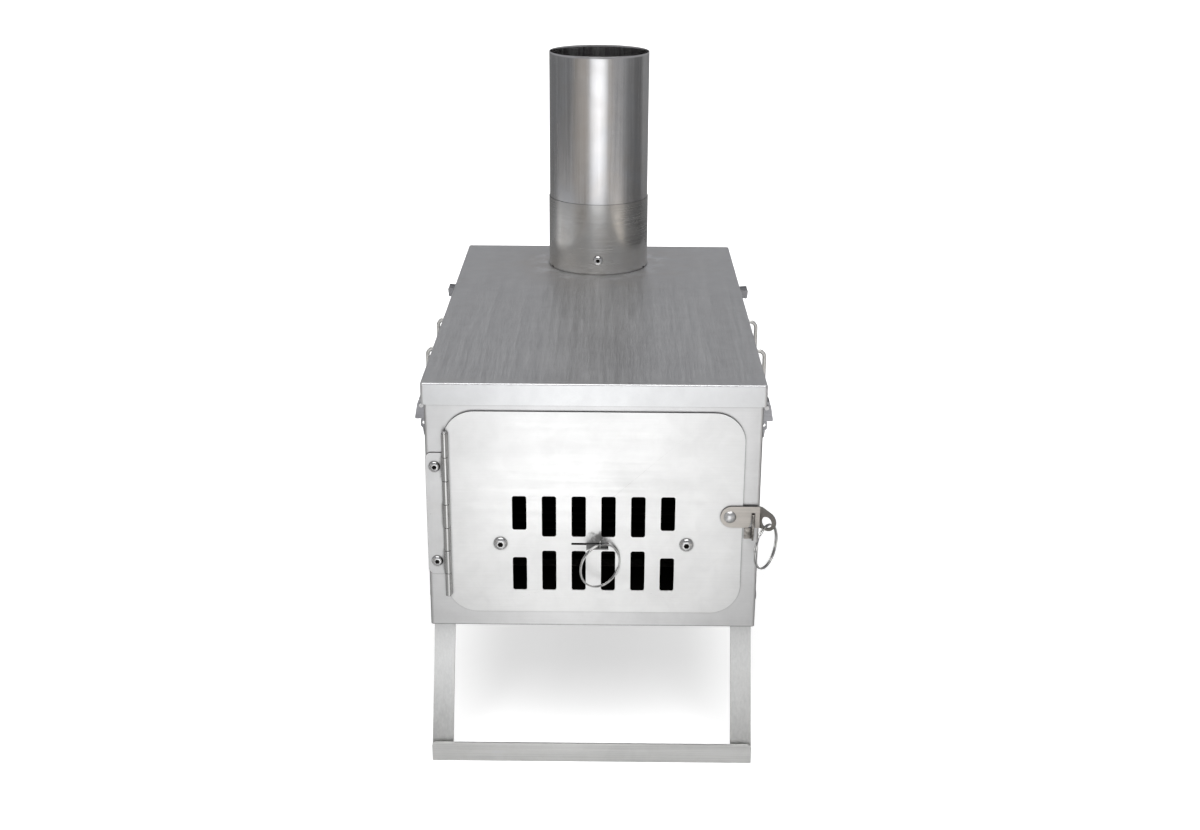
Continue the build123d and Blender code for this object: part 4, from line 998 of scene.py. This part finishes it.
class STOVE_OT_hardware(Operator):
    """Finish the clamps, the clips, rivets and pins, and draw the latch and all screws"""
    bl_idname = "stove.hardware"
    bl_label = "Hardware"

    def execute(self, context):
        colours = context.scene.stove_colours
        latch = steel("latch steel", colours.latch, (40, 400, 900), 0.33, patch=0.06, smudge=0.25)
        # The ear: the latch steel at 0.62, painted shade on the bent-out ear
        ear = steel("ear steel", shade(colours.latch, 0.62), (200, 200, 900), 0.30, patch=0.08, smudge=0.35)
        # The keeper: mottled like heat-tinted weld, and darker, with painted shadow under the lever
        keeper = steel("keeper steel", shade(colours.latch, 0.7), (200, 400, 900), 0.25, cloud=200.0, patch=0.34,
                       smudge=1.0, corner=1.0)
        fastener = steel("fastener steel", colours.fastener, (300, 300, 300), 0.22, patch=0.04, smudge=0.12, bump=0.03,
                         corner=0.9)
        rivet = steel("rivet steel", colours.fastener, (300, 300, 300), 0.34, patch=0.04, smudge=0.10, bump=0.03,
                      corner=0.9)
        clamp = steel("clamp steel", (0.40, 0.40, 0.42), (40, 400, 900), 0.30, patch=0.06, smudge=0.25, corner=0.8)
        dress([n for n in NODES if n.startswith(("clamp_base", "clamp_lever", "handle_clips"))], clamp)
        dress(("latch_keeper",), keeper)
        dress(("latch_rivet", "front_leg_pivots", "rear_leg_pivots"), rivet, break_edges=False)
        dress(("hinge_pin", "clamp_pins"), fastener, break_edges=False)
        # The sockets get the soot and shade material: painted shade in the recess
        self.screws(context, [fastener, soot_and_shade_material()])
        self.latch(context, [latch, ear, shaded_cut_steel()])
        return {"FINISHED"}

    def screws(self, context, materials):
        """The button-head screws: two at the hinge, two that guide the slider, and three round the collar."""
        sizes = context.scene.stove_sizes
        small_height, guide_height = 0.0022, 0.0027
        bolt = button_screw(sizes.small_head, small_height, 0.0031, 0.004, 0.007, (0.007, 0.0032, 0.0016))
        short = button_screw(sizes.small_head, small_height, 0.0031, 0.004, 0.007, None)
        guide = button_screw(sizes.guide_head, guide_height, 0.0036, 0.005, 0.009, (0.008, 0.004, 0.0042))
        front = np.array([(1, 0, 0), (0, 0, 1), (0, -1, 0)], float)
        low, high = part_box("hinge_screws")
        x, y, half = (low[0] + high[0]) / 2, low[1] + small_height, sizes.small_head / 2
        jobs = [("hinge_screws", "firebox", bolt, [((x, y, z), front) for z in (low[2] + half, high[2] - half)])]
        low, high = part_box("slider_screws")
        y, z, half = low[1] + guide_height, (low[2] + high[2]) / 2, sizes.guide_head / 2
        jobs.append(("slider_screws", "door", guide, [((x, y, z), front) for x in (low[0] + half, high[0] - half)]))
        low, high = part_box("collar_screws")
        reach, z = FLUE_Y - low[1] - small_height, (low[2] + high[2]) / 2
        places = []
        for turn in (270.0, 30.0, 150.0):
            out = np.array((math.cos(math.radians(turn)), math.sin(math.radians(turn)), 0.0))
            facing = np.array([np.cross((0, 0, 1), out), (0, 0, 1), out])
            places.append(((reach * out[0], FLUE_Y + reach * out[1], z), facing))
        jobs.append(("collar_screws", "lid", short, places))
        for name, body, pattern, places in jobs:
            points, faces, marks = joined([(np.array(place) + points @ facing, faces, marks)
                                           for place, facing in places for points, faces, marks in pattern])
            add_piece(f"{name}_socketed", points, faces, body, [name], materials, marks)

    def latch(self, context, materials):
        """The door latch: its lever with a slot for the keeper, and the bent ear that carries the ring.

        Its outlines are measured from the rivet, and the slot's side is on a circle round it.
        """
        sizes = context.scene.stove_sizes
        low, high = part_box("latch_rivet")
        pivot = ((low[0] + high[0]) / 2, (low[2] + high[2]) / 2)
        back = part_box("door_panel")[0][1] - 0.0001
        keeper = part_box("latch_keeper")[1]
        half, chamfer = 0.0078, 0.00015
        left = half - sizes.lever_rounding
        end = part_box("front_panel")[1][0] + 0.0004 - pivot[0]
        swing = keeper[0] - 0.0015 - pivot[0]
        right, top = keeper[0] + 0.0006 - pivot[0], keeper[2] + 0.0006 - pivot[1]
        turns = [math.degrees(math.asin(z / swing)) for z in (-half, top)]
        rim = (arc((left, 0.0), half, 90, 270, 25) + arc((0.0, 0.0), swing, *turns, 9)
               + [(right, top), (right, -half), (end, -half), (end, half)])
        lever = cut_sheet([np.array(rim)], sizes.lever_sheet, chamfer, np.array((pivot[0], back, pivot[1])), (1, 0, 0),
                          (0, 0, 1), (0, -1, 0))
        bend = math.radians(35)
        along, out = (math.cos(bend), -math.sin(bend), 0.0), (-math.sin(bend), -math.cos(bend), 0.0)
        centre, hole_drop = (0.0056, -0.0016), 0.0008
        rim = [(-0.0002, half), (0.0022, half - 0.0003), *arc(centre, sizes.ear_radius, 62, -118, 30), (-0.0002, -half)]
        hole = arc((centre[0], centre[1] - hole_drop), sizes.ear_hole / 2, 0, 348, 30)
        ear = cut_sheet([np.array(rim), np.array(hole)], sizes.lever_sheet, chamfer,
                        np.array((pivot[0] + end, back, pivot[1])), along, (0, 0, 1), out)
        points = np.concatenate([lever[0], ear[0]])
        faces = lever[1] + [tuple(i + len(lever[0]) for i in face) for face in ear[1]]
        # The lever's and ear's cut sides get the shaded cut steel, a painted dark outline
        marks = np.where(np.r_[lever[2], ear[2]], 2, np.r_[np.zeros(len(lever[1])), np.ones(len(ear[1]))])
        split_edges(add_piece("latch_lever_sheet", points, faces, "latch", ["latch_lever"], materials,
                              marks), 32)


PIECES = (STOVE_OT_firebox, STOVE_OT_lid, STOVE_OT_flue, STOVE_OT_door, STOVE_OT_rings, STOVE_OT_legs,
          STOVE_OT_hardware)
STAGING = (STOVE_OT_camera, STOVE_OT_studio)


class STOVE_PT_panel(Panel):
    """The sizes, the colours and the buttons that build each piece"""
    bl_label = "Tent Wood Stove"
    bl_idname = "STOVE_PT_panel"
    bl_space_type = "VIEW_3D"
    bl_region_type = "UI"
    bl_category = "Stove"

    def draw(self, context):
        scene = context.scene
        for group in (scene.stove_sizes, scene.stove_colours, scene.stove_studio):
            box = self.layout.box()
            for name in group.bl_rna.properties.keys():
                if name not in ("rna_type", "name"):
                    box.prop(group, name)
        for operator in STAGING + PIECES:
            self.layout.operator(operator.bl_idname)


CLASSES = (StoveSizes, StoveColours, StudioSettings) + STAGING + PIECES + (STOVE_PT_panel,)


def register():
    """Registers the classes and hangs the settings on the scene."""
    for item in CLASSES:
        bpy.utils.register_class(item)
    bpy.types.Scene.stove_sizes = PointerProperty(type=StoveSizes)
    bpy.types.Scene.stove_colours = PointerProperty(type=StoveColours)
    bpy.types.Scene.stove_studio = PointerProperty(type=StudioSettings)


def unregister():
    """Takes the settings and the classes away again."""
    for name in ("stove_sizes", "stove_colours", "stove_studio"):
        delattr(bpy.types.Scene, name)
    for item in reversed(CLASSES):
        bpy.utils.unregister_class(item)


def main():
    register()
    for operator in STAGING + PIECES:
        family, name = operator.bl_idname.split(".")
        if "FINISHED" not in getattr(getattr(bpy.ops, family), name)():
            raise RuntimeError(f"{operator.bl_label} did not finish")
    bpy.context.view_layer.update()


if __name__ == "__main__":
    main()
